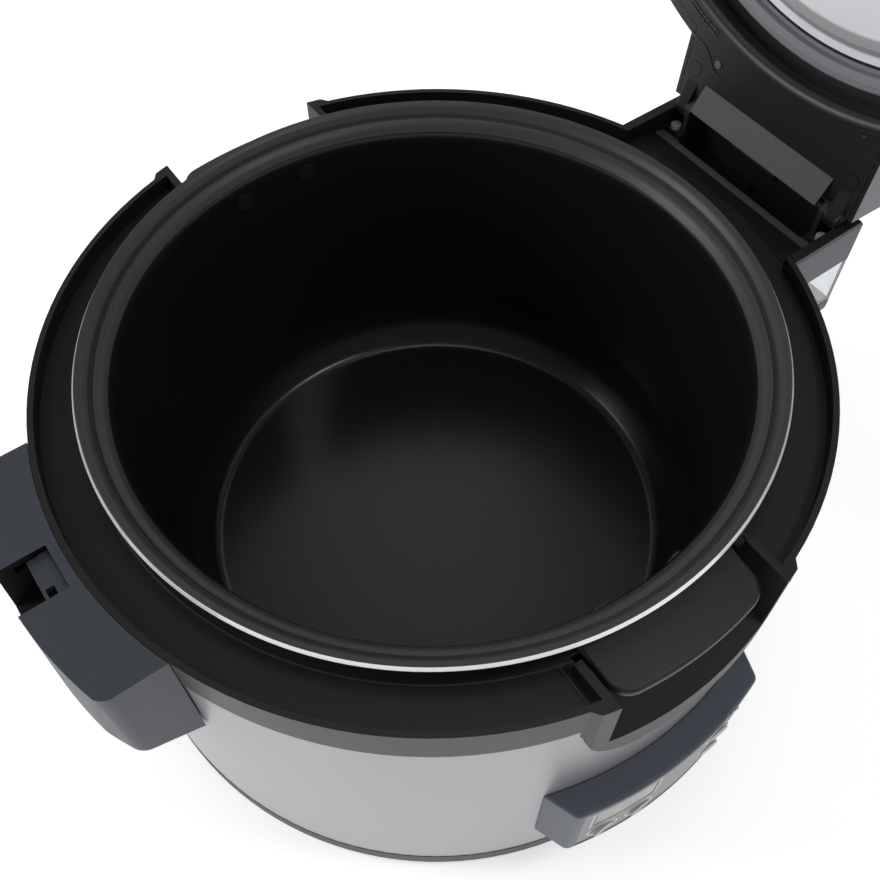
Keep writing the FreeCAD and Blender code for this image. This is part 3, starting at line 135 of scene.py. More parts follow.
class CookerSizes(bpy.types.PropertyGroup):
    """Sizes of the pieces that are made here."""

    pot_rim: length("Pot rim", "Radius of the outer edge of the pot's rim", POT_RIM.x)
    pot_top: length("Pot top", "Height of the rim's outer edge", POT_RIM.z)
    pot_wall: length("Pot wall", "Thickness of the pot", 2.5 * MM)
    pot_inner: length("Pot inside", "Inner radius of the pot", 154 * MM)
    pot_floor: length("Pot floor", "Height of the pot's floor", 64 * MM)
    pot_corner: length("Pot corner", "Radius between the pot's floor and wall", 30 * MM)
    bare_edge: length("Bare edge", "Width of the bare metal edge of the rim", 1.2 * MM)
    rim_start: length("Rim start", "From the inner wall to where the rim's coating starts", 1.5 * MM)
    rim_depth: length("Rim depth", "From the rim's top to the bare outside below it", 3 * MM)
    edge: length("Edge", "Rounding of the moulded edges", 0.8 * MM)
    handle_edge: length("Handle edge", "Rounding of the pot handles", 1.1 * MM)
    panel_edge: length("Panel edge", "Rounding of the control panel's housing", 1.2 * MM)
    catch_edge: length("Catch edge", "Rounding of the catch", 0.5 * MM)
    liner_edge: length("Liner edge", "Rounding of the lid's liner", 0.6 * MM)
    arm_edge: length("Arm edge", "Rounding of the lid's arm ends", 1.2 * MM)
    panel_line: length("Panel line", "Width of the outlines on the panel", 0.7 * MM)
    # Beyond this radius the ring's outward faces get the lighter tone that is painted light
    band: length("Band", "Radius beyond which the top ring is lighter", 190.6 * MM)
    ledge: length("Ledge", "Drop from the ring's top to its ledge", 9.5 * MM)
    # Bead lines below this height, inside the ledge field, get a painted highlight
    ledge_bead: length("Ledge bead", "Height that the ledge's bead lines stay below", 1.5 * MM)
    ledge_field: length("Ledge field", "Radius of the ledge's part that has bead lines", 186 * MM)
    # Half the width of the painted highlight on the tray's brink
    tray_brink: length("Tray brink", "Half the width of the tray's paler brink", 48 * MM)
    drain: length("Drain", "From the hinge pin out to the tray's drain", 3.4 * MM)
    strainer: length("Strainer", "Radius of the disc in the drain", 2.76 * MM)
    strainer_depth: length("Strainer depth", "Thickness of the disc in the drain", 1 * MM)
    strainer_edge: length("Strainer edge", "Rounding of the disc in the drain", 0.15 * MM)
    strainer_level: length("Strainer level", "Middle of the disc above the tray's foot", 0.7 * MM)
    latch_corner: length("Latch corner", "Rounding of the latch block's upright corners", 8 * MM)
    notch_side: length("Notch sides", "Room beside the catch", 3 * MM)
    notch_front: length("Notch front", "Room in front of the catch", 12 * MM)
    notch_back: length("Notch back", "Room behind the catch", 2 * MM)
    # The painted shade of the notch starts this far below the ring's top
    notch_brink: length("Notch brink", "Drop from the ring's top to the dark of the notch", 1.2 * MM)
    lid_seam: length("Lid seam", "Gap between the ring and the closed lid", 0.5 * MM)
    ridge: length("Ridge", "Radius of the ridge under the lid", 174 * MM)
    ramp: length("Ramp", "Height of the open lid's ramp over the hinge pin", 25 * MM)
    bead_width: length("Bead width", "Width of the raised lines under the lid", 1.3 * MM)
    bead_height: length("Bead height", "Height of the raised lines under the lid", 0.35 * MM)
    bead_turn: length("Bead turn", "Rounding of the raised lines' corners", 3 * MM)
    knuckle: length("Knuckle", "Radius of the arm ends round the hinge pin", 6.6 * MM)
    arm_inner: length("Arm inside", "From the middle to the arm ends' inner sides", 52.4 * MM)
    arm_outer: length("Arm outside", "From the middle to the arm ends' outer sides", 60.4 * MM)
    arm_slope: length("Arm slope", "From the hinge pin to where the arm ends start", 16.5 * MM)


class CookerColours(bpy.types.PropertyGroup):
    """Colours of the finishes."""

    steel: colour("Steel", "Satin steel of the body", (0.35, 0.341, 0.361))
    slate: colour("Slate", "Latch block, control panel and hinge skin", (0.0475, 0.054, 0.068))
    ring: colour("Ring", "Ledge and inside of the moulded top ring", (0.0125, 0.0108, 0.0115))
    # Painted light: a lighter copy of the ring's colour, for the band's outward faces and the ledge's
    # bead lines
    band: colour("Band", "Outer faces of the moulded top ring", (0.038, 0.0362, 0.0385))
    fascia: colour("Fascia", "Face of the control panel", (0.20, 0.20, 0.207))
    coating: colour("Coating", "Non-stick coating of the pot", (0.0092, 0.0092, 0.0096))
    grip: colour("Grip", "Pot handles", (0.0135, 0.0152, 0.0178))
    lid: colour("Lid", "Outside of the lid", (0.064, 0.070, 0.084))
    lid_inside: colour("Lid inside", "Moulding under the lid", (0.014, 0.014, 0.015))
    gasket: colour("Gasket", "Soft ring of the inner plate", (0.21, 0.215, 0.235))
    plate: colour("Plate", "Inner plate of the lid", (0.92, 0.93, 0.96))
    cook: colour("Cook key", "The red spot on the cook key", (0.60, 0.14, 0.12))
    display: colour("Display", "Lens over the display", (0.18, 0.20, 0.185))
    lamp: colour("Lamps", "Lenses over the lamps", (0.36, 0.34, 0.30))
    base: colour("Base", "Base pan", (0.022, 0.021, 0.022))
    rubber: colour("Rubber", "Feet", (0.014, 0.014, 0.014))
    gland: colour("Gland", "Cord gland", (0.018, 0.018, 0.019))
    rim_bare: colour("Rim edge", "Bare edge of the pot's rim", (0.95, 0.95, 0.96))
    pot_outside: colour("Pot outside", "Bare outside of the pot", (0.42, 0.42, 0.43))
    # Painted shade for the inside of the latch's notch
    notch: colour("Notch", "Inside of the latch's notch", (0.004, 0.004, 0.005))
    hinge: colour("Hinge", "Brackets, pin and arm ends", (0.007, 0.007, 0.0075))
    screw: colour("Hinge screws", "Screws of the hinge brackets", (0.42, 0.42, 0.44))
    spring: colour("Spring", "Hinge spring", (0.10, 0.10, 0.105))
    cup: colour("Cup", "Clear cup for the dew", (0.90, 0.92, 0.95))
    hook: colour("Hook", "Hook of the lid", (0.6, 0.6, 0.62))
    drawn: colour("Drawn metal", "Inner liner, posts, sensor and liner screws", (0.55, 0.55, 0.56))
    cast: colour("Cast metal", "Heating plate, sensor cap and foot screws", (0.62, 0.62, 0.63))
    heater: colour("Heater", "Heater element and band heater", (0.10, 0.09, 0.085))
    lid_wool: colour("Lid wool", "Insulation in the lid", (0.62, 0.6, 0.52))
    wrap_wool: colour("Wrap", "Insulation round the inner liner", (0.7, 0.68, 0.6))


class CookerStage(bpy.types.PropertyGroup):
    """Camera, light and floor."""

    aim: bpy.props.FloatVectorProperty(
        name="Aim", description="Point that the camera looks at", subtype="TRANSLATION",
        unit="LENGTH", default=(-34.1 * MM, -53.9 * MM, 242 * MM),
    )
    azimuth: angle("Azimuth", "Camera's place round the cooker, from the front", -35)
    elevation: angle("Elevation", "Camera's height above the horizon", 56.3)
    roll: angle("Roll", "Camera's turn about its own line of sight", -0.85)
    distance: length("Distance", "From the aim to the camera", 452.2 * MM)
    lens: bpy.props.FloatProperty(
        name="Lens", description="Focal length", default=41.8, subtype="DISTANCE_CAMERA"
    )
    surround: strength("Surround", "Brightness of the walls round the cooker", 1.0)
    ceiling: strength("Ceiling", "Brightness straight above the cooker", 0.28)
    table: strength("Table", "Glow of the lit table", 0.55)
    floor: length("Floor", "Radius of the floor", 6)
    key: power("Key", "Power of the soft light over the cooker", 3.5)
    side: power("Side", "Power of the wide light that faces the open lid", 11)


class Value:
    """One socket of a finish. Sums on it become Math nodes."""

    def __init__(self, finish, socket):
        self.finish = finish
        self.socket = socket

    def __add__(self, other):
        return self.finish.maths("ADD", self, other)

    def __radd__(self, other):
        return self.finish.maths("ADD", other, self)

    def __sub__(self, other):
        return self.finish.maths("SUBTRACT", self, other)

    def __rsub__(self, other):
        return self.finish.maths("SUBTRACT", other, self)

    def __mul__(self, other):
        return self.finish.maths("MULTIPLY", self, other)

    def __pow__(self, other):
        return self.finish.maths("POWER", self, other)


class Finish:
    """A material in the making: one shader and the nodes that feed it."""

    def __init__(self, name, **constants):
        self.material = bpy.data.materials.new(name)
        self.material.use_nodes = True
        self.tree = self.material.node_tree
        self.tree.nodes.clear()
        output = self.tree.nodes.new("ShaderNodeOutputMaterial")
        self.shader = self.tree.nodes.new("ShaderNodeBsdfPrincipled")
        self.tree.links.new(self.shader.outputs[0], output.inputs[0])
        for socket, value in constants.items():
            self.feed(self.shader, socket.replace("_", " "), value)

    def feed(self, node, key, value):
        """Set a socket, or link it."""
        if isinstance(key, str):
            socket = next(s for s in node.inputs if key in (s.name, s.identifier))
        else:
            socket = node.inputs[key]
        if isinstance(value, Value):
            self.tree.links.new(value.socket, socket)
        elif hasattr(socket.default_value, "__len__") and len(value) < len(socket.default_value):
            socket.default_value = (*value, 1)
        else:
            socket.default_value = value

    def node(self, kind, settings, inputs, output=0):
        """Any node: its type, its settings, and what its sockets get."""
        node = self.tree.nodes.new(f"ShaderNode{kind}")
        for name, value in settings.items():
            setattr(node, name, value)
        for key, value in inputs.items():
            self.feed(node, key, value)
        return Value(self, node.outputs[output])

    def maths(self, operation, *values):
        """One sum of numbers or sockets."""
        return self.node("Math", {"operation": operation}, dict(enumerate(values)))

    def spot(self, stretch=(1, 1, 1), shift=(0, 0, 0)):
        """The place on the piece, stretched and shifted."""
        place = self.node("TexCoord", {}, {}, "Object")
        inputs = {"Vector": place, "Location": shift, "Scale": stretch}
        return self.node("Mapping", {"vector_type": "POINT"}, inputs)

    def axes(self, spot=None):
        """The place as three numbers."""
        first = self.node("SeparateXYZ", {}, {0: spot or self.spot()})
        return [first] + [Value(self, first.socket.node.outputs[i]) for i in (1, 2)]

    def noise(self, scale, detail=2, spot=None):
        """Soft grain, with a mean of about one half."""
        inputs = {"Vector": spot or self.spot(), "Scale": scale, "Detail": detail}
        return self.node("TexNoise", {}, inputs)

    def step(self, value, low, high):
        """A smooth mask that rises from 0 at low to 1 at high."""
        inputs = {"Value": value, "From Min": low, "From Max": high}
        return self.node("MapRange", {"interpolation_type": "SMOOTHSTEP"}, inputs)

    def mix(self, mask, first, second):
        """Two colours by a mask."""
        inputs = {"Factor_Float": mask, "A_Color": first, "B_Color": second}
        made = self.node("Mix", {"data_type": "RGBA"}, inputs)
        return Value(self, made.socket.node.outputs[2])

    def shaded(self, tone, by):
        """A colour that gets darker and lighter by a number round one."""
        inputs = {0: tone, "Scale": by}
        return self.node("VectorMath", {"operation": "SCALE"}, inputs)

    def bump(self, height, distance, weight=1.0):
        """Raise the surface a little by a height from 0 to 1."""
        inputs = {"Height": height, "Distance": distance, "Strength": weight}
        self.set("Normal", self.node("Bump", {}, inputs))

    def set(self, socket, value):
        """Set or link a socket of the shader."""
        self.feed(self.shader, socket, value)


# Measures and tones
def middle_and_half(node):
    """Centre and half size of a solid's box."""
    low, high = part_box(node)
    return (low + high) / 2, (high - low) / 2


def distance(first, *others):
    """Length of a step from its parts along the axes."""
    total = first * first
    for part in others:
        total = total + part * part
    return total ** 0.5


def scaled(tone, by):
    """A colour made lighter or darker."""
    return [by * channel for channel in tone]


def placed(profile, radius, height):
    """A profile in mm, put at a radius and a height."""
    return [(radius + x * MM, height + z * MM, rounding * MM) for x, z, rounding in profile]


# Finishes
def moulded(name, tone, roughness=0.45, grain=0.05 * MM, fine=2600, **constants):
    """Moulded plastic with a spark-eroded grain and slightly uneven gloss."""
    finish = Finish(name, **constants)
    cloud = finish.noise(14, 3)
    pits = finish.noise(fine, 2)
    finish.set("Base Color", finish.shaded(tone, 0.93 + cloud * 0.10 + pits * 0.04))
    finish.set("Roughness", roughness - 0.05 + cloud * 0.06 + pits * 0.05)
    finish.bump(pits, grain)
    return finish.material


def brushed(name, tone, roughness=0.3, stretch=(25, 25, 2600), metallic=1.0):
    """Metal with fine lines along the two slow directions of the stretch."""
    finish = Finish(name, Metallic=metallic)
    lines = finish.noise(1, 3, finish.spot(stretch))
    cloud = finish.noise(9, 2)
    finish.set("Base Color", finish.shaded(tone, 0.90 + lines * 0.12 + cloud * 0.06))
    finish.set("Roughness", roughness - 0.04 + lines * 0.10)
    finish.bump(lines, 0.01 * MM, 0.6)
    return finish.material


def cast(name, tone, roughness=0.4, metallic=1.0, fine=900, grain=0.06 * MM):
    """Cast, drawn or plated metal with a fine even skin."""
    finish = Finish(name, Metallic=metallic)
    skin = finish.noise(fine, 3)
    cloud = finish.noise(20, 2)
    finish.set("Base Color", finish.shaded(tone, 0.88 + skin * 0.10 + cloud * 0.10))
    finish.set("Roughness", roughness - 0.06 + skin * 0.12)
    finish.bump(skin, grain)
    return finish.material


def coating_finish(name, tone, gloss=0.3, roughness=0.19, specks=0.5):
    """Non-stick coating with fine pale specks."""
    finish = Finish(name, Specular_IOR_Level=gloss)
    pale = (0.16, 0.16, 0.17)
    pits = finish.noise(1500, 3)
    dots = finish.node("TexVoronoi", {"feature": "F1"}, {"Vector": finish.spot(), "Scale": 700})
    near = 1 - finish.step(dots, 0.05, 0.16)
    chance = finish.step(finish.noise(260, 1), 0.54, 0.66)
    dark = finish.shaded(tone, 0.85 + pits * 0.3)
    finish.set("Base Color", finish.mix(near * chance * specks, dark, pale))
    finish.set("Roughness", roughness + pits * 0.08)
    finish.bump(pits, 0.035 * MM)
    return finish.material


def clear_finish(tone):
    """Clear moulded plastic, faintly grey, with slightly uneven gloss."""
    finish = Finish("cup_clear", Transmission_Weight=0.94, IOR=1.49)
    cloud = finish.noise(30, 2)
    finish.set("Base Color", finish.shaded(tone, 0.97 + cloud * 0.06))
    finish.set("Roughness", 0.03 + cloud * 0.05)
    return finish.material


def plate_finish(tone):
    """Anodised plate with faint turning lines, a groove at its edge painted near black as shade, and a
    band darkened as painted shade.
    """
    finish = Finish("plate_anodised", Metallic=0.25)
    # Painted shade: half the tone, for a band inside the plate's edge
    matt = scaled(tone, 0.46)
    dark = (0.02, 0.02, 0.022)
    centre, half = middle_and_half("lid_inner_plate")
    x, y, z = finish.axes(finish.spot(shift=-centre))
    radius = distance(y, z, x)
    lines = finish.noise(1, 2, finish.node("CombineXYZ", {}, {0: radius * 1400}))
    cloud = finish.noise(10, 2)
    inward = half.y - radius
    band = finish.step(inward, 6 * MM, 6.8 * MM) * (1 - finish.step(inward, 14 * MM, 16 * MM))
    # Painted shade: the groove at the edge is painted near black
    groove = 1 - finish.step(inward, 1.5 * MM, 1.9 * MM)
    mixed = finish.mix(groove, finish.mix(band, tone, matt), dark)
    finish.set("Base Color", finish.shaded(mixed, 0.93 + lines * 0.05 + cloud * 0.08))
    finish.set("Roughness", 0.36 + lines * 0.08)
    finish.bump(lines, 0.008 * MM)
    return finish.material


def fibre_finish(name, tone):
    """Felted mineral fibre."""
    finish = Finish(name, Roughness=0.95)
    long_fibres = finish.noise(220, 6, finish.spot((1, 1, 0.25)))
    clumps = finish.noise(40, 3)
    finish.set("Base Color", finish.shaded(tone, 0.75 + long_fibres * 0.3 + clumps * 0.2))
    finish.bump(long_fibres, 1.2 * MM)
    return finish.material


def board_finish():
    """Green circuit board with fine paler tracks."""
    finish = Finish("board_green", Roughness=0.35)
    green = (0.015, 0.10, 0.035)
    pale = (0.05, 0.22, 0.08)
    x, _, z = finish.axes()
    rows, columns = (finish.maths("SINE", axis * 700) for axis in (x, z))
    tracks = finish.step(rows * columns, 0.55, 0.75)
    finish.set("Base Color", finish.mix(tracks, green, pale))
    finish.bump(tracks, 0.03 * MM)
    return finish.material


def fascia_finish(tone, width):
    """Panel foil: satin grey with pale printed outlines round the display and the keys."""
    finish = Finish("panel_fascia", Specular_IOR_Level=0.25)
    ink = (0.72, 0.72, 0.73)
    display_margin = 2.2 * MM
    key_margin = 1.2 * MM
    x, _, z = finish.axes()
    middle, half = middle_and_half("display_lens")
    sides = [
        finish.maths("ABSOLUTE", axis - middle[i]) - (half[i] + display_margin)
        for axis, i in ((x, 0), (z, 2))
    ]
    outlines = [finish.maths("MAXIMUM", *sides)]
    for node in KEYS:
        middle, half = middle_and_half(node)
        outlines.append(distance(x - middle.x, z - middle.z) - (half.z + key_margin))
    lines = 0
    for outline in outlines:
        off = finish.maths("ABSOLUTE", outline)
        lines = lines + (1 - finish.step(off, width * 0.35, width * 0.65))
    pits = finish.noise(2400, 2)
    cloud = finish.noise(14, 3)
    printed = finish.mix(lines, tone, ink)
    finish.set("Base Color", finish.shaded(printed, 0.94 + cloud * 0.08 + pits * 0.04))
    finish.set("Roughness", 0.34 + cloud * 0.06 + pits * 0.04)
    finish.bump(pits, 0.015 * MM)
    return finish.material


def key_finish(node, tone, spot_tone):
    """A key with a coloured spot printed in its middle and a paler side, painted light that lifts the
    shade on it.
    """
    finish = Finish(f"{node}_foil", Specular_IOR_Level=0.25)
    pale = (0.8, 0.8, 0.82)
    x, _, z = finish.axes()
    middle, half = middle_and_half(node)
    reach = distance(x - middle.x, z - middle.z)
    spot = 1 - finish.step(reach, half.z * 0.45, half.z * 0.5)
    # Painted light: the key's side is made pale to lift the shade that falls on it
    side = finish.step(reach, half.z - 0.7 * MM, half.z - 0.3 * MM)
    mixed = finish.mix(side, finish.mix(spot, tone, spot_tone), pale)
    pits = finish.noise(2400, 2)
    finish.set("Base Color", finish.shaded(mixed, 0.97 + pits * 0.06))
    finish.set("Roughness", 0.34 + pits * 0.08)
    finish.bump(pits, 0.02 * MM)
    return finish.material


# Meshes
def finished(name, mesh, body, slot, *materials, stands_for=()):
    """Put a bmesh into the scene as a piece of a body."""
    data = bpy.data.meshes.new(name)
    mesh.to_mesh(data)
    mesh.free()
    for material in materials:
        data.materials.append(material)
    piece = bpy.data.objects.new(name, data)
    bpy.context.scene.collection.objects.link(piece)
    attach(piece, body)
    if stands_for:
        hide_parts(*stands_for)
    return piece


def coat(material, *nodes):
    """Give solids a finish."""
    for node in nodes:
        slots = frame["nodes"][node].data.materials
        slots.clear()
        slots.append(material)


def recoat(piece, material, chosen):
    """Give the faces of a piece that pass a test another finish."""
    piece.data.materials.append(material)
    for face in piece.data.polygons:
        if chosen(face):
            face.material_index = 1


def rounded(mesh, width, sharper_than=math.radians(28), segments=3):
    """Round the sharp edges of a closed mesh and shade it smoothly."""
    sharp = [e for e in mesh.edges if e.is_manifold and e.calc_face_angle() > sharper_than]
    bmesh.ops.bevel(
        mesh, geom=sharp, offset=width, offset_type="OFFSET", segments=segments, profile=0.5,
        affect="EDGES", clamp_overlap=True, material=-1,
    )
    for face in mesh.faces:
        face.smooth = True


def even(piece):
    """Let the large faces rule the shading."""
    modifier = piece.modifiers.new("even", "WEIGHTED_NORMAL")
    modifier.keep_sharp = True
    modifier.weight = 80


def copied(node):
    """A merged copy of a solid's mesh."""
    mesh = bmesh.new()
    mesh.from_mesh(frame["nodes"][node].data)
    bmesh.ops.remove_doubles(mesh, verts=mesh.verts, dist=MERGE)
    bmesh.ops.dissolve_limit(
        mesh, angle_limit=math.radians(0.3), verts=mesh.verts, edges=mesh.edges
    )
    return mesh


def eased(node, width, body, slot, material, segments=3, mesh=None):
    """A copy of a solid with rounded edges, which stands for it."""
    mesh = mesh or copied(node)
    rounded(mesh, width, segments=segments)
    piece = finished(f"{node}_eased", mesh, body, slot, material, stands_for=(node,))
    even(piece)
    return piece


def turned(profile, steps=160):
    """Spin a closed profile of (radius, height, rounding) round the upright axis."""
    mesh = bmesh.new()
    corners = [mesh.verts.new((radius, 0, height)) for radius, height, rounding in profile]
    for i, corner in enumerate(corners):
        mesh.edges.new((corners[i - 1], corner))
    for corner, (radius, height, rounding) in zip(corners, profile):
        if rounding:
            bmesh.ops.bevel(
                mesh, geom=[corner], offset=rounding, offset_type="OFFSET", segments=5,
                profile=0.5, affect="VERTICES", material=-1,
            )
    on_axis = [e for e in mesh.edges if all(v.co.x < MERGE for v in e.verts)]
    bmesh.ops.delete(mesh, geom=on_axis, context="EDGES")
    bmesh.ops.spin(
        mesh, geom=mesh.verts[:] + mesh.edges[:], cent=(0, 0, 0), axis=(0, 0, 1),
        dvec=(0, 0, 0), angle=2 * math.pi, steps=steps, use_merge=True,
    )
    bmesh.ops.remove_doubles(mesh, verts=mesh.verts, dist=MERGE)
    bmesh.ops.recalc_face_normals(mesh, faces=mesh.faces)
    mesh.normal_update()
    for face in mesh.faces:
        face.smooth = True
    return mesh


def beads(name, paths, sizes, level, material):
    """Raised lines along paths on the underside of the lid."""
    mesh = bmesh.new()
    for path in paths:
        corners = [mesh.verts.new((x, y, level)) for x, y in path]
        for first, second in zip(corners, corners[1:]):
            mesh.edges.new((first, second))
        bmesh.ops.bevel(
            mesh, geom=corners[1:-1], offset=sizes.bead_turn, offset_type="OFFSET", segments=4,
            profile=0.5, affect="VERTICES", clamp_overlap=True, material=-1,
        )
    made = bmesh.ops.extrude_edge_only(mesh, edges=mesh.edges[:])
    lowered = [item for item in made["geom"] if isinstance(item, bmesh.types.BMVert)]
    bmesh.ops.translate(mesh, vec=(0, 0, -sizes.bead_height), verts=lowered)
    bmesh.ops.transform(mesh, matrix=OPEN_LID, verts=mesh.verts)
    for face in mesh.faces:
        face.smooth = True
    piece = finished(name, mesh, "lid", "lid_black", material)
    wall = piece.modifiers.new("wall", "SOLIDIFY")
    wall.thickness = sizes.bead_width
    wall.offset = 0
    edge = piece.modifiers.new("edge", "BEVEL")
    edge.width = sizes.bead_height * 0.7
    edge.segments = 3


class Piece:
    """What every operator here shares."""

    bl_options = {"REGISTER", "UNDO"}

    @property
    def sizes(self):
        return bpy.context.scene.cooker_sizes

    @property
    def colours(self):
        return bpy.context.scene.cooker_colours


class COOKER_OT_stage(Piece, bpy.types.Operator):
    """Floor, soft light and the camera"""

    bl_idname = "cooker.stage"
    bl_label = "Stage"

    def execute(self, context):
        settings = context.scene.cooker_stage
        self.floor(settings)
        self.light(settings)
        self.camera(settings)
        view = context.scene.view_settings
        view.view_transform = "Standard"
        view.look = "None"
        return {"FINISHED"}

    def floor(self, settings):
        """Pale table that glows a little, as a lit one does."""
        mesh = bmesh.new()
        bmesh.ops.create_circle(mesh, cap_ends=True, segments=96, radius=settings.floor)
        data = bpy.data.meshes.new("floor")
        mesh.to_mesh(data)
        mesh.free()
        finish = Finish("floor_pale", Roughness=0.9, Emission_Strength=settings.table)
        finish.set("Base Color", finish.shaded((0.93, 0.93, 0.93), 0.98 + finish.noise(2) * 0.03))
        finish.set("Emission Color", (1, 1, 1))
        data.materials.append(finish.material)
        floor = bpy.data.objects.new("floor", data)
        bpy.context.scene.collection.objects.link(floor)

    def light(self, settings):
        """Bright walls under a dimmer ceiling, and the soft lights."""
        world = bpy.data.worlds.new("studio")
        bpy.context.scene.world = world
        world.use_nodes = True
        tree = world.node_tree
        sky = tree.nodes.new("ShaderNodeTexCoord")
        split = tree.nodes.new("ShaderNodeSeparateXYZ")
        fall = tree.nodes.new("ShaderNodeMapRange")
        tree.links.new(sky.outputs["Generated"], split.inputs[0])
        tree.links.new(split.outputs["Z"], fall.inputs["Value"])
        fall.interpolation_type = "SMOOTHSTEP"
        fall.inputs["From Min"].default_value = SKY_LOW
        fall.inputs["From Max"].default_value = SKY_HIGH
        fall.inputs["To Min"].default_value = settings.surround
        fall.inputs["To Max"].default_value = settings.ceiling
        background = tree.nodes["Background"]
        tree.links.new(fall.outputs[0], background.inputs["Strength"])
        background.inputs["Color"].default_value = (1, 1, 1, 1)
        for name, (place, size, source, share) in LAMPS.items():
            lamp = bpy.data.lights.new(name, "AREA")
            lamp.shape = "DISK"
            lamp.size = size
            lamp.energy = getattr(settings, source) * share
            item = bpy.data.objects.new(name, lamp)
            item.location = place
            aim = Vector((0, 0, RING_TOP)) - item.location
            item.rotation_euler = aim.to_track_quat("-Z", "Y").to_euler()
            bpy.context.scene.collection.objects.link(item)

    def camera(self, settings):
        """The photograph's place, tilt and lens."""
        flat = math.cos(settings.elevation)
        back = Vector((
            math.sin(settings.azimuth) * flat,
            -math.cos(settings.azimuth) * flat,
            math.sin(settings.elevation),
        ))
        level = Vector((0, 0, 1)).cross(back).normalized()
        upright = back.cross(level)
        turn = settings.roll
        right = level * math.cos(turn) + upright * math.sin(turn)
        up = upright * math.cos(turn) - level * math.sin(turn)
        data = bpy.data.cameras.new("camera")
        data.lens = settings.lens
        data.sensor_width = 36
        data.clip_start = 0.01
        camera = bpy.data.objects.new("camera", data)
        pose = Matrix((right, up, back)).transposed().to_4x4()
        pose.translation = Vector(settings.aim) + back * settings.distance
        camera.matrix_world = pose
        bpy.context.scene.collection.objects.link(camera)
        bpy.context.scene.camera = camera


class COOKER_OT_body(Piece, bpy.types.Operator):
    """Steel shell, base, feet and cord gland"""

    bl_idname = "cooker.body"
    bl_label = "Body"

    def execute(self, context):
        colours = self.colours
        coat(brushed("shell_steel", colours.steel, 0.33, metallic=0.5), "outer_shell")
        coat(moulded("base_black", colours.base, 0.5), "base_pan")
        coat(moulded("foot_rubber", colours.rubber, 0.8, 0.08 * MM, 1600), "rubber_feet")
        coat(cast("foot_zinc", colours.cast, 0.3), "foot_screws")
        coat(moulded("gland_black", colours.gland, 0.55), "cord_gland")
        return {"FINISHED"}


class COOKER_OT_ring(Piece, bpy.types.Operator):
    """Top ring with its ledge and finger scoops, and the hinge tray"""

    bl_idname = "cooker.ring"
    bl_label = "Top ring"

    def execute(self, context):
        colours = self.colours
        edge = self.sizes.edge
        inside = moulded("ring_moulding", colours.ring, fine=2200, Specular_IOR_Level=0.3)
        # Painted light: the band's outward faces and the ledge's bead lines get a lighter copy of the
        # ring's moulding
        outside = moulded("ring_band", colours.band, fine=2200, Specular_IOR_Level=0.33)
        ring = eased("top_ring", edge, "body", "ring_black", inside)
        recoat(ring, outside, self.on_lit_band)
        tray = eased("hinge_tray", edge, "body", "ring_black", inside)
        # Painted highlight: the tray's sloped brink gets a lighter tone
        recoat(tray, moulded("tray_brink", scaled(colours.band, 2.6), 0.4), self.on_brink_highlight)
        self.strainer(inside)
        return {"FINISHED"}

    def on_lit_band(self, face):
        """Whether a face of the ring gets the lighter tone painted as light: a bead line on the ledge,
        as a painted highlight, or a face on the band that looks outward, as the light that such faces
        catch.
        """
        sizes = self.sizes
        reach = math.hypot(face.center.x, face.center.y)
        outward = (face.normal.x * face.center.x + face.normal.y * face.center.y) / reach
        above = face.center.z - (RING_TOP - sizes.ledge)
        bead = TOUCH < above < sizes.ledge_bead and reach < sizes.ledge_field
        return bead or (reach > sizes.band and outward > 0.35)

    def on_brink_highlight(self, face):
        """Whether a face of the tray slopes up and outward between the brackets, where a highlight is
        painted.
        """
        sloped = min(face.normal.x, face.normal.z) > 0.2
        return sloped and abs(face.center.y) < self.sizes.tray_brink

    def strainer(self, material):
        """Dark disc in the mouth of the tray's drain."""
        sizes = self.sizes
        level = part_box("hinge_tray")[0].z + sizes.strainer_level
        place = Matrix.Translation((HINGE_POINT.x + sizes.drain, 0, level))
        mesh = bmesh.new()
        bmesh.ops.create_cone(
            mesh, cap_ends=True, segments=40, radius1=sizes.strainer, radius2=sizes.strainer,
            depth=sizes.strainer_depth, matrix=place,
        )
        rounded(mesh, sizes.strainer_edge)
        finished("drain_strainer", mesh, "body", "ring_black", material)


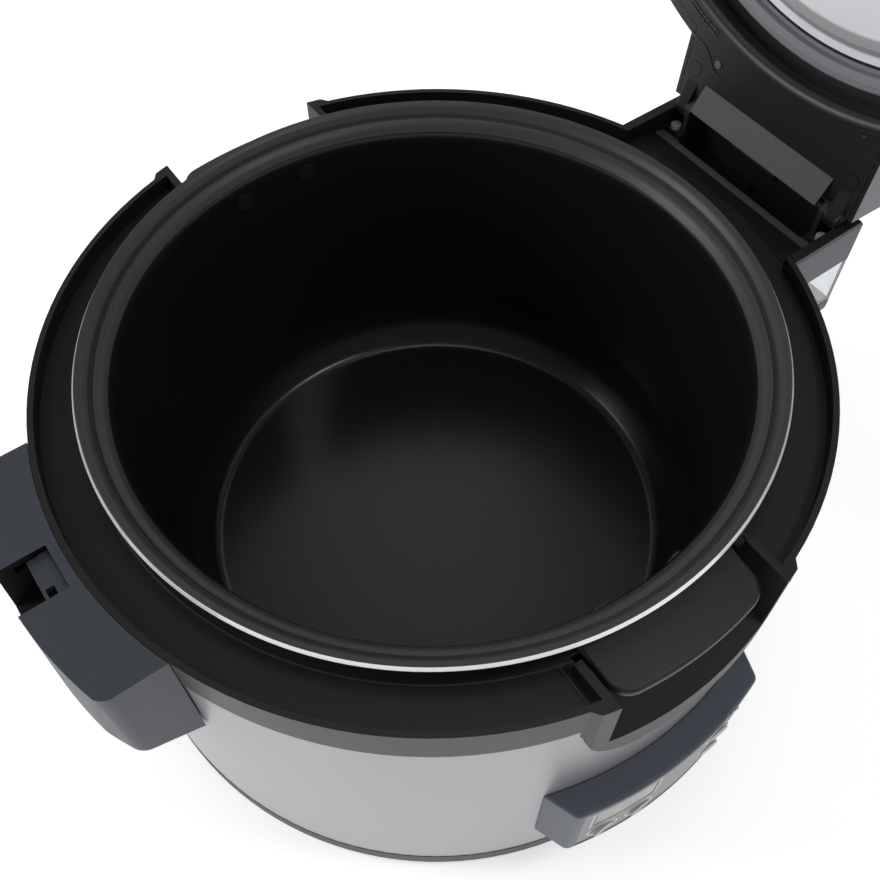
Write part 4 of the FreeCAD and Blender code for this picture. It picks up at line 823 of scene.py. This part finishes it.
class COOKER_OT_pot(Piece, bpy.types.Operator):
    """Coated pot with its bare rim edge, handles and rivets"""

    bl_idname = "cooker.pot"
    bl_label = "Pot"

    def execute(self, context):
        colours = self.colours
        mesh = turned(self.profile(), 200)
        for face in mesh.faces:
            face.material_index = self.surface(face)
        finished(
            "pot", mesh, "pot", "nonstick", coating_finish("pot_coating", colours.coating),
            cast("rim_bare", colours.rim_bare, 0.3, 0.45, grain=0.01 * MM),
            cast("pot_outside", colours.pot_outside, 0.42),
            # Painted light: the coating on the rim's upward faces is 3.4 times lighter than inside
            coating_finish("rim_coating", scaled(colours.coating, 3.4), 0.45, 0.38, 1),
            stands_for=("inner_pot",),
        )
        grip = moulded("grip_satin", colours.grip, 0.42, 0.03 * MM, Specular_IOR_Level=0.34)
        for node in ("pot_handle_front", "pot_handle_rear"):
            eased(node, self.sizes.handle_edge, "pot", "handle", grip, 4)
        # Painted highlight: the rivet heads get the coating 1.4 times lighter, so that they show
        coat(coating_finish("rivet_coating", scaled(colours.coating, 1.4), 0.35, 0.3), "pot_rivets")
        return {"FINISHED"}

    def profile(self):
        """From the floor's middle up the inside, over the rim and down the outside."""
        sizes = self.sizes
        outer = sizes.pot_inner + sizes.pot_wall
        foot = sizes.pot_floor - sizes.pot_wall
        return [
            (0, sizes.pot_floor, 0),
            *placed(POT_FOOT, sizes.pot_inner, sizes.pot_floor),
            *placed(POT_SHOULDER, sizes.pot_inner, sizes.pot_top),
            *placed(POT_FLANGE, sizes.pot_rim, sizes.pot_top),
            *placed(POT_NECK, outer, sizes.pot_top),
            (outer, foot, sizes.pot_corner + sizes.pot_wall),
            (0, foot, 0),
        ]

    def surface(self, face):
        """Number of a face's finish: 0 inside, 1 bare edge, 2 outside, 3 coated rim with its coating
        painted lighter as light.
        """
        sizes = self.sizes
        middle = face.calc_center_median()
        upward = face.normal.z
        outward = face.normal.x * middle.x + face.normal.y * middle.y > 0
        reach = math.hypot(middle.x, middle.y)
        beyond = reach - sizes.pot_inner
        below = sizes.pot_top - middle.z
        if reach > sizes.pot_rim - sizes.bare_edge and 0.1 < upward < 0.8:
            return 1
        if outward and beyond > sizes.pot_wall / 2 and upward < 0.3 and below > sizes.rim_depth:
            return 2
        if beyond > sizes.rim_start and upward > 0.1:
            return 3
        return 0


class COOKER_OT_panel(Piece, bpy.types.Operator):
    """Control panel with fascia, display, lamps and keys"""

    bl_idname = "cooker.panel"
    bl_label = "Control panel"

    def execute(self, context):
        colours = self.colours
        polish = 0.005 * MM
        # Painted light: the panel's housing gets the slate 1.7 times lighter than the latch block's
        slate = moulded("panel_slate", scaled(colours.slate, 1.7), Specular_IOR_Level=0.35)
        eased("control_housing", self.sizes.panel_edge, "body", "slate", slate)
        coat(fascia_finish(colours.fascia, self.sizes.panel_line), "panel_face")
        lens = moulded("display_grey", colours.display, 0.2, polish, Specular_IOR_Level=0.2)
        coat(lens, "display_lens")
        coat(moulded("lamp_milky", colours.lamp, 0.2, polish), "lamp_lenses")
        # Painted light: the keys get twice the fascia's tone, to lift the shade on them
        pale = scaled(colours.fascia, 2)
        for node in KEYS:
            spot_tone = colours.cook if node == "key_cook" else scaled(pale, 0.8)
            coat(key_finish(node, pale, spot_tone), node)
        coat(board_finish(), "control_board")
        return {"FINISHED"}


class COOKER_OT_latch(Piece, bpy.types.Operator):
    """Latch block and its catch"""

    bl_idname = "cooker.latch"
    bl_label = "Latch"

    def execute(self, context):
        slate = moulded("latch_slate", self.colours.slate, Specular_IOR_Level=0.33)
        mesh = copied("latch_housing")
        self.round_corners(mesh)
        block = eased("latch_housing", self.sizes.edge, "body", "slate", slate, mesh=mesh)
        # Painted shade: the inside of the notch is painted near black
        dark = moulded("notch_black", self.colours.notch, 0.7, Specular_IOR_Level=0.12)
        low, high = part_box("latch_catch")
        recoat(block, dark, lambda face: self.in_notch(face.center, low, high))
        eased("latch_catch", self.sizes.catch_edge, "catch", "slate", slate)
        return {"FINISHED"}

    def in_notch(self, place, low, high):
        """Whether a place of the block is in the notch, round the box of the catch."""
        sizes = self.sizes
        beside = low.y - sizes.notch_side < place.y < high.y + sizes.notch_side
        along = low.x - sizes.notch_front < place.x < high.x + sizes.notch_back
        return beside and along and place.z < RING_TOP - sizes.notch_brink

    def round_corners(self, mesh, cuts=8):
        """Round the block's two outer upright corners with cuts that lie along a cylinder."""
        low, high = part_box("latch_housing")
        radius = self.sizes.latch_corner
        top = [v.co for v in mesh.verts if v.co.z > high.z - TOUCH]
        flanks = [[place.copy() for place in top if abs(place.y - y) < TOUCH] for y in (low.y, high.y)]
        for side, flank_top in zip((-1, 1), flanks):
            corner = min(flank_top, key=lambda place: place.x)
            flank = Vector((0, side, 0))
            front = Vector((corner.x, corner.y, 0)).normalized()
            centre = corner - (flank + front) * (radius / (1 + flank.dot(front)))
            for i in range(1, cuts):
                normal = flank.slerp(front, i / cuts)
                cut = bmesh.ops.bisect_plane(
                    mesh, geom=mesh.verts[:] + mesh.edges[:] + mesh.faces[:], dist=MERGE,
                    plane_co=centre + normal * radius, plane_no=normal, clear_outer=True,
                )
                rim = [item for item in cut["geom_cut"] if isinstance(item, bmesh.types.BMEdge)]
                bmesh.ops.edgenet_fill(mesh, edges=rim)
        bmesh.ops.recalc_face_normals(mesh, faces=mesh.faces)


class COOKER_OT_hinge(Piece, bpy.types.Operator):
    """Hinge metal, its skin, the clear cup and the shelf below"""

    bl_idname = "cooker.hinge"
    bl_label = "Hinge"

    def execute(self, context):
        colours = self.colours
        slate = moulded("skin_slate", colours.slate)
        for node in ("hinge_housing", "collector_shelf"):
            eased(node, self.sizes.edge, "body", "slate", slate)
        coat(clear_finish(colours.cup), "dew_collector")
        black = cast("bracket_black", colours.hinge, 0.65, 0.0)
        coat(black, "hinge_bracket_front", "hinge_bracket_rear", "hinge_pin")
        coat(cast("screw_grey", colours.screw, 0.4, 0.0), "hinge_screws")
        coat(brushed("spring_dark", colours.spring, 0.4, (200, 2600, 200)), "hinge_spring")
        return {"FINISHED"}


class COOKER_OT_lid(Piece, bpy.types.Operator):
    """Lid shell, liner and its small fittings"""

    bl_idname = "cooker.lid"
    bl_label = "Lid"

    def execute(self, context):
        colours, sizes = self.colours, self.sizes
        shell = moulded("lid_outer", colours.lid, 0.32, 0.02 * MM)
        inside = moulded("lid_inside", colours.lid_inside, 0.38, 0.04 * MM)
        outer = eased("lid_shell", sizes.edge, "lid", "lid_grey", shell)
        down = OPEN_LID.to_3x3() @ Vector((0, 0, -1))
        recoat(outer, inside, lambda face: face.normal.dot(down) > 0.5)
        liner = eased("lid_liner", sizes.liner_edge, "lid", "lid_black", inside)
        recoat(liner, moulded("ramp_matt", scaled(colours.lid_inside, 1.5), 0.48), self.on_ramp)
        self.ridge(inside)
        self.lines(inside)
        self.arms(moulded("arm_matt", colours.hinge, 0.55, Specular_IOR_Level=0.22))
        coat(inside, "arm_plugs")
        coat(cast("liner_screw", colours.drawn, 0.25), "liner_screws")
        coat(shell, "steam_vent")
        coat(cast("hook_steel", colours.hook, 0.3), "lid_hook")
        coat(fibre_finish("lid_wool", colours.lid_wool), "lid_insulation")
        return {"FINISHED"}

    @property
    def underside(self):
        return RING_TOP + self.sizes.lid_seam

    def on_ramp(self, face):
        """Whether a face of the liner is on the ramp at the open lid's foot."""
        return face.normal.z > 0.4 and face.center.z < HINGE_POINT.z + self.sizes.ramp

    def ridge(self, material):
        """Broad soft rounding of the ridge under the lid."""
        mesh = turned(placed(LID_RIDGE, self.sizes.ridge, self.underside))
        bmesh.ops.transform(mesh, matrix=OPEN_LID, verts=mesh.verts)
        finished("lid_ridge", mesh, "lid", "lid_black", material)

    def lines(self, material):
        """Wavy outline between the arms, and a curved slot line at each side of it."""
        sizes = self.sizes
        mirrored = [(x, -y) for x, y in reversed(LID_WAVE)]
        paths = [[(x * MM, y * MM) for x, y in (*LID_WAVE, LID_WAVE_MIDDLE, *mirrored)]]
        for side in (-1, 1):
            turns = [math.radians(side * (LID_SLOT_START + i)) for i in range(LID_SLOT_TURN + 1)]
            for reach in (sizes.ridge + beyond * MM for beyond in LID_SLOTS):
                paths.append([(reach * math.cos(turn), reach * math.sin(turn)) for turn in turns])
        beads("lid_lines", paths, sizes, self.underside, material)

    def arms(self, material, steps=8):
        """Arm ends that carry the lid's neck on over the hinge knuckles."""
        sizes, axis = self.sizes, HINGE_POINT
        sunk, flat, back = 0.2 * MM, 1 * MM, 4 * MM
        outline = [
            (axis.x - sizes.arm_slope, self.underside + sunk),
            (axis.x - flat, axis.z - sizes.knuckle),
        ]
        for i in range(steps + 1):
            turn = math.pi / 2 * i / steps
            across, down = sizes.knuckle * math.sin(turn), sizes.knuckle * math.cos(turn)
            outline.append((axis.x + across, axis.z - down))
        outline.append((axis.x - back, axis.z))
        width = sizes.arm_outer - sizes.arm_inner
        for side, near in (("front", -sizes.arm_outer), ("rear", sizes.arm_inner)):
            mesh = bmesh.new()
            face = mesh.faces.new([mesh.verts.new((x, near, z)) for x, z in outline])
            made = bmesh.ops.extrude_face_region(mesh, geom=[face])
            moved = [item for item in made["geom"] if isinstance(item, bmesh.types.BMVert)]
            bmesh.ops.translate(mesh, vec=(0, width, 0), verts=moved)
            bmesh.ops.recalc_face_normals(mesh, faces=mesh.faces)
            bmesh.ops.transform(mesh, matrix=OPEN_LID, verts=mesh.verts)
            mesh.normal_update()
            rounded(mesh, sizes.arm_edge)
            even(finished(f"lid_arm_end_{side}", mesh, "lid", "lid_black", material))


class COOKER_OT_inner_plate(Piece, bpy.types.Operator):
    """Inner plate of the lid with its soft gasket and grommet"""

    bl_idname = "cooker.inner_plate"
    bl_label = "Inner plate"

    def execute(self, context):
        soft = moulded("gasket_soft", self.colours.gasket, 0.5, 0.03 * MM)
        coat(plate_finish(self.colours.plate), "lid_inner_plate")
        coat(soft, "lid_gasket", "plate_grommet")
        return {"FINISHED"}


class COOKER_OT_inside(Piece, bpy.types.Operator):
    """Liner, heaters, wrap and pot sensor inside the body"""

    bl_idname = "cooker.inside"
    bl_label = "Inside"

    def execute(self, context):
        colours = self.colours
        drawn = cast("liner_drawn", colours.drawn, 0.35)
        coat(drawn, "inner_liner", "liner_posts", "sensor_bracket", "sensor_spring")
        coat(cast("heating_cast", colours.cast, 0.45, fine=500), "heating_plate", "sensor_cap")
        coat(cast("heater_dark", colours.heater, 0.6), "heater_element", "band_heater")
        coat(fibre_finish("wrap_wool", colours.wrap_wool), "insulation_wrap")
        return {"FINISHED"}


PIECES = (
    COOKER_OT_stage,
    COOKER_OT_body,
    COOKER_OT_ring,
    COOKER_OT_pot,
    COOKER_OT_panel,
    COOKER_OT_latch,
    COOKER_OT_hinge,
    COOKER_OT_lid,
    COOKER_OT_inner_plate,
    COOKER_OT_inside,
)


class COOKER_PT_pieces(bpy.types.Panel):
    """The cooker's pieces and settings"""

    bl_label = "Rice cooker"
    bl_space_type = "VIEW_3D"
    bl_region_type = "UI"
    bl_category = "Cooker"

    def draw(self, context):
        for piece in PIECES:
            self.layout.operator(piece.bl_idname)
        for group in ("cooker_sizes", "cooker_colours", "cooker_stage"):
            settings = getattr(context.scene, group)
            for name in settings.__annotations__:
                self.layout.prop(settings, name)


GROUPS = (
    ("cooker_sizes", CookerSizes),
    ("cooker_colours", CookerColours),
    ("cooker_stage", CookerStage),
)


def register():
    for name, group in GROUPS:
        bpy.utils.register_class(group)
        setattr(bpy.types.Scene, name, bpy.props.PointerProperty(type=group))
    for piece in (*PIECES, COOKER_PT_pieces):
        bpy.utils.register_class(piece)


def unregister():
    for piece in (COOKER_PT_pieces, *reversed(PIECES)):
        bpy.utils.unregister_class(piece)
    for name, group in reversed(GROUPS):
        delattr(bpy.types.Scene, name)
        bpy.utils.unregister_class(group)


def main():
    register()
    for piece in PIECES:
        family, name = piece.bl_idname.split(".")
        getattr(getattr(bpy.ops, family), name)()


if __name__ == "__main__":
    main()
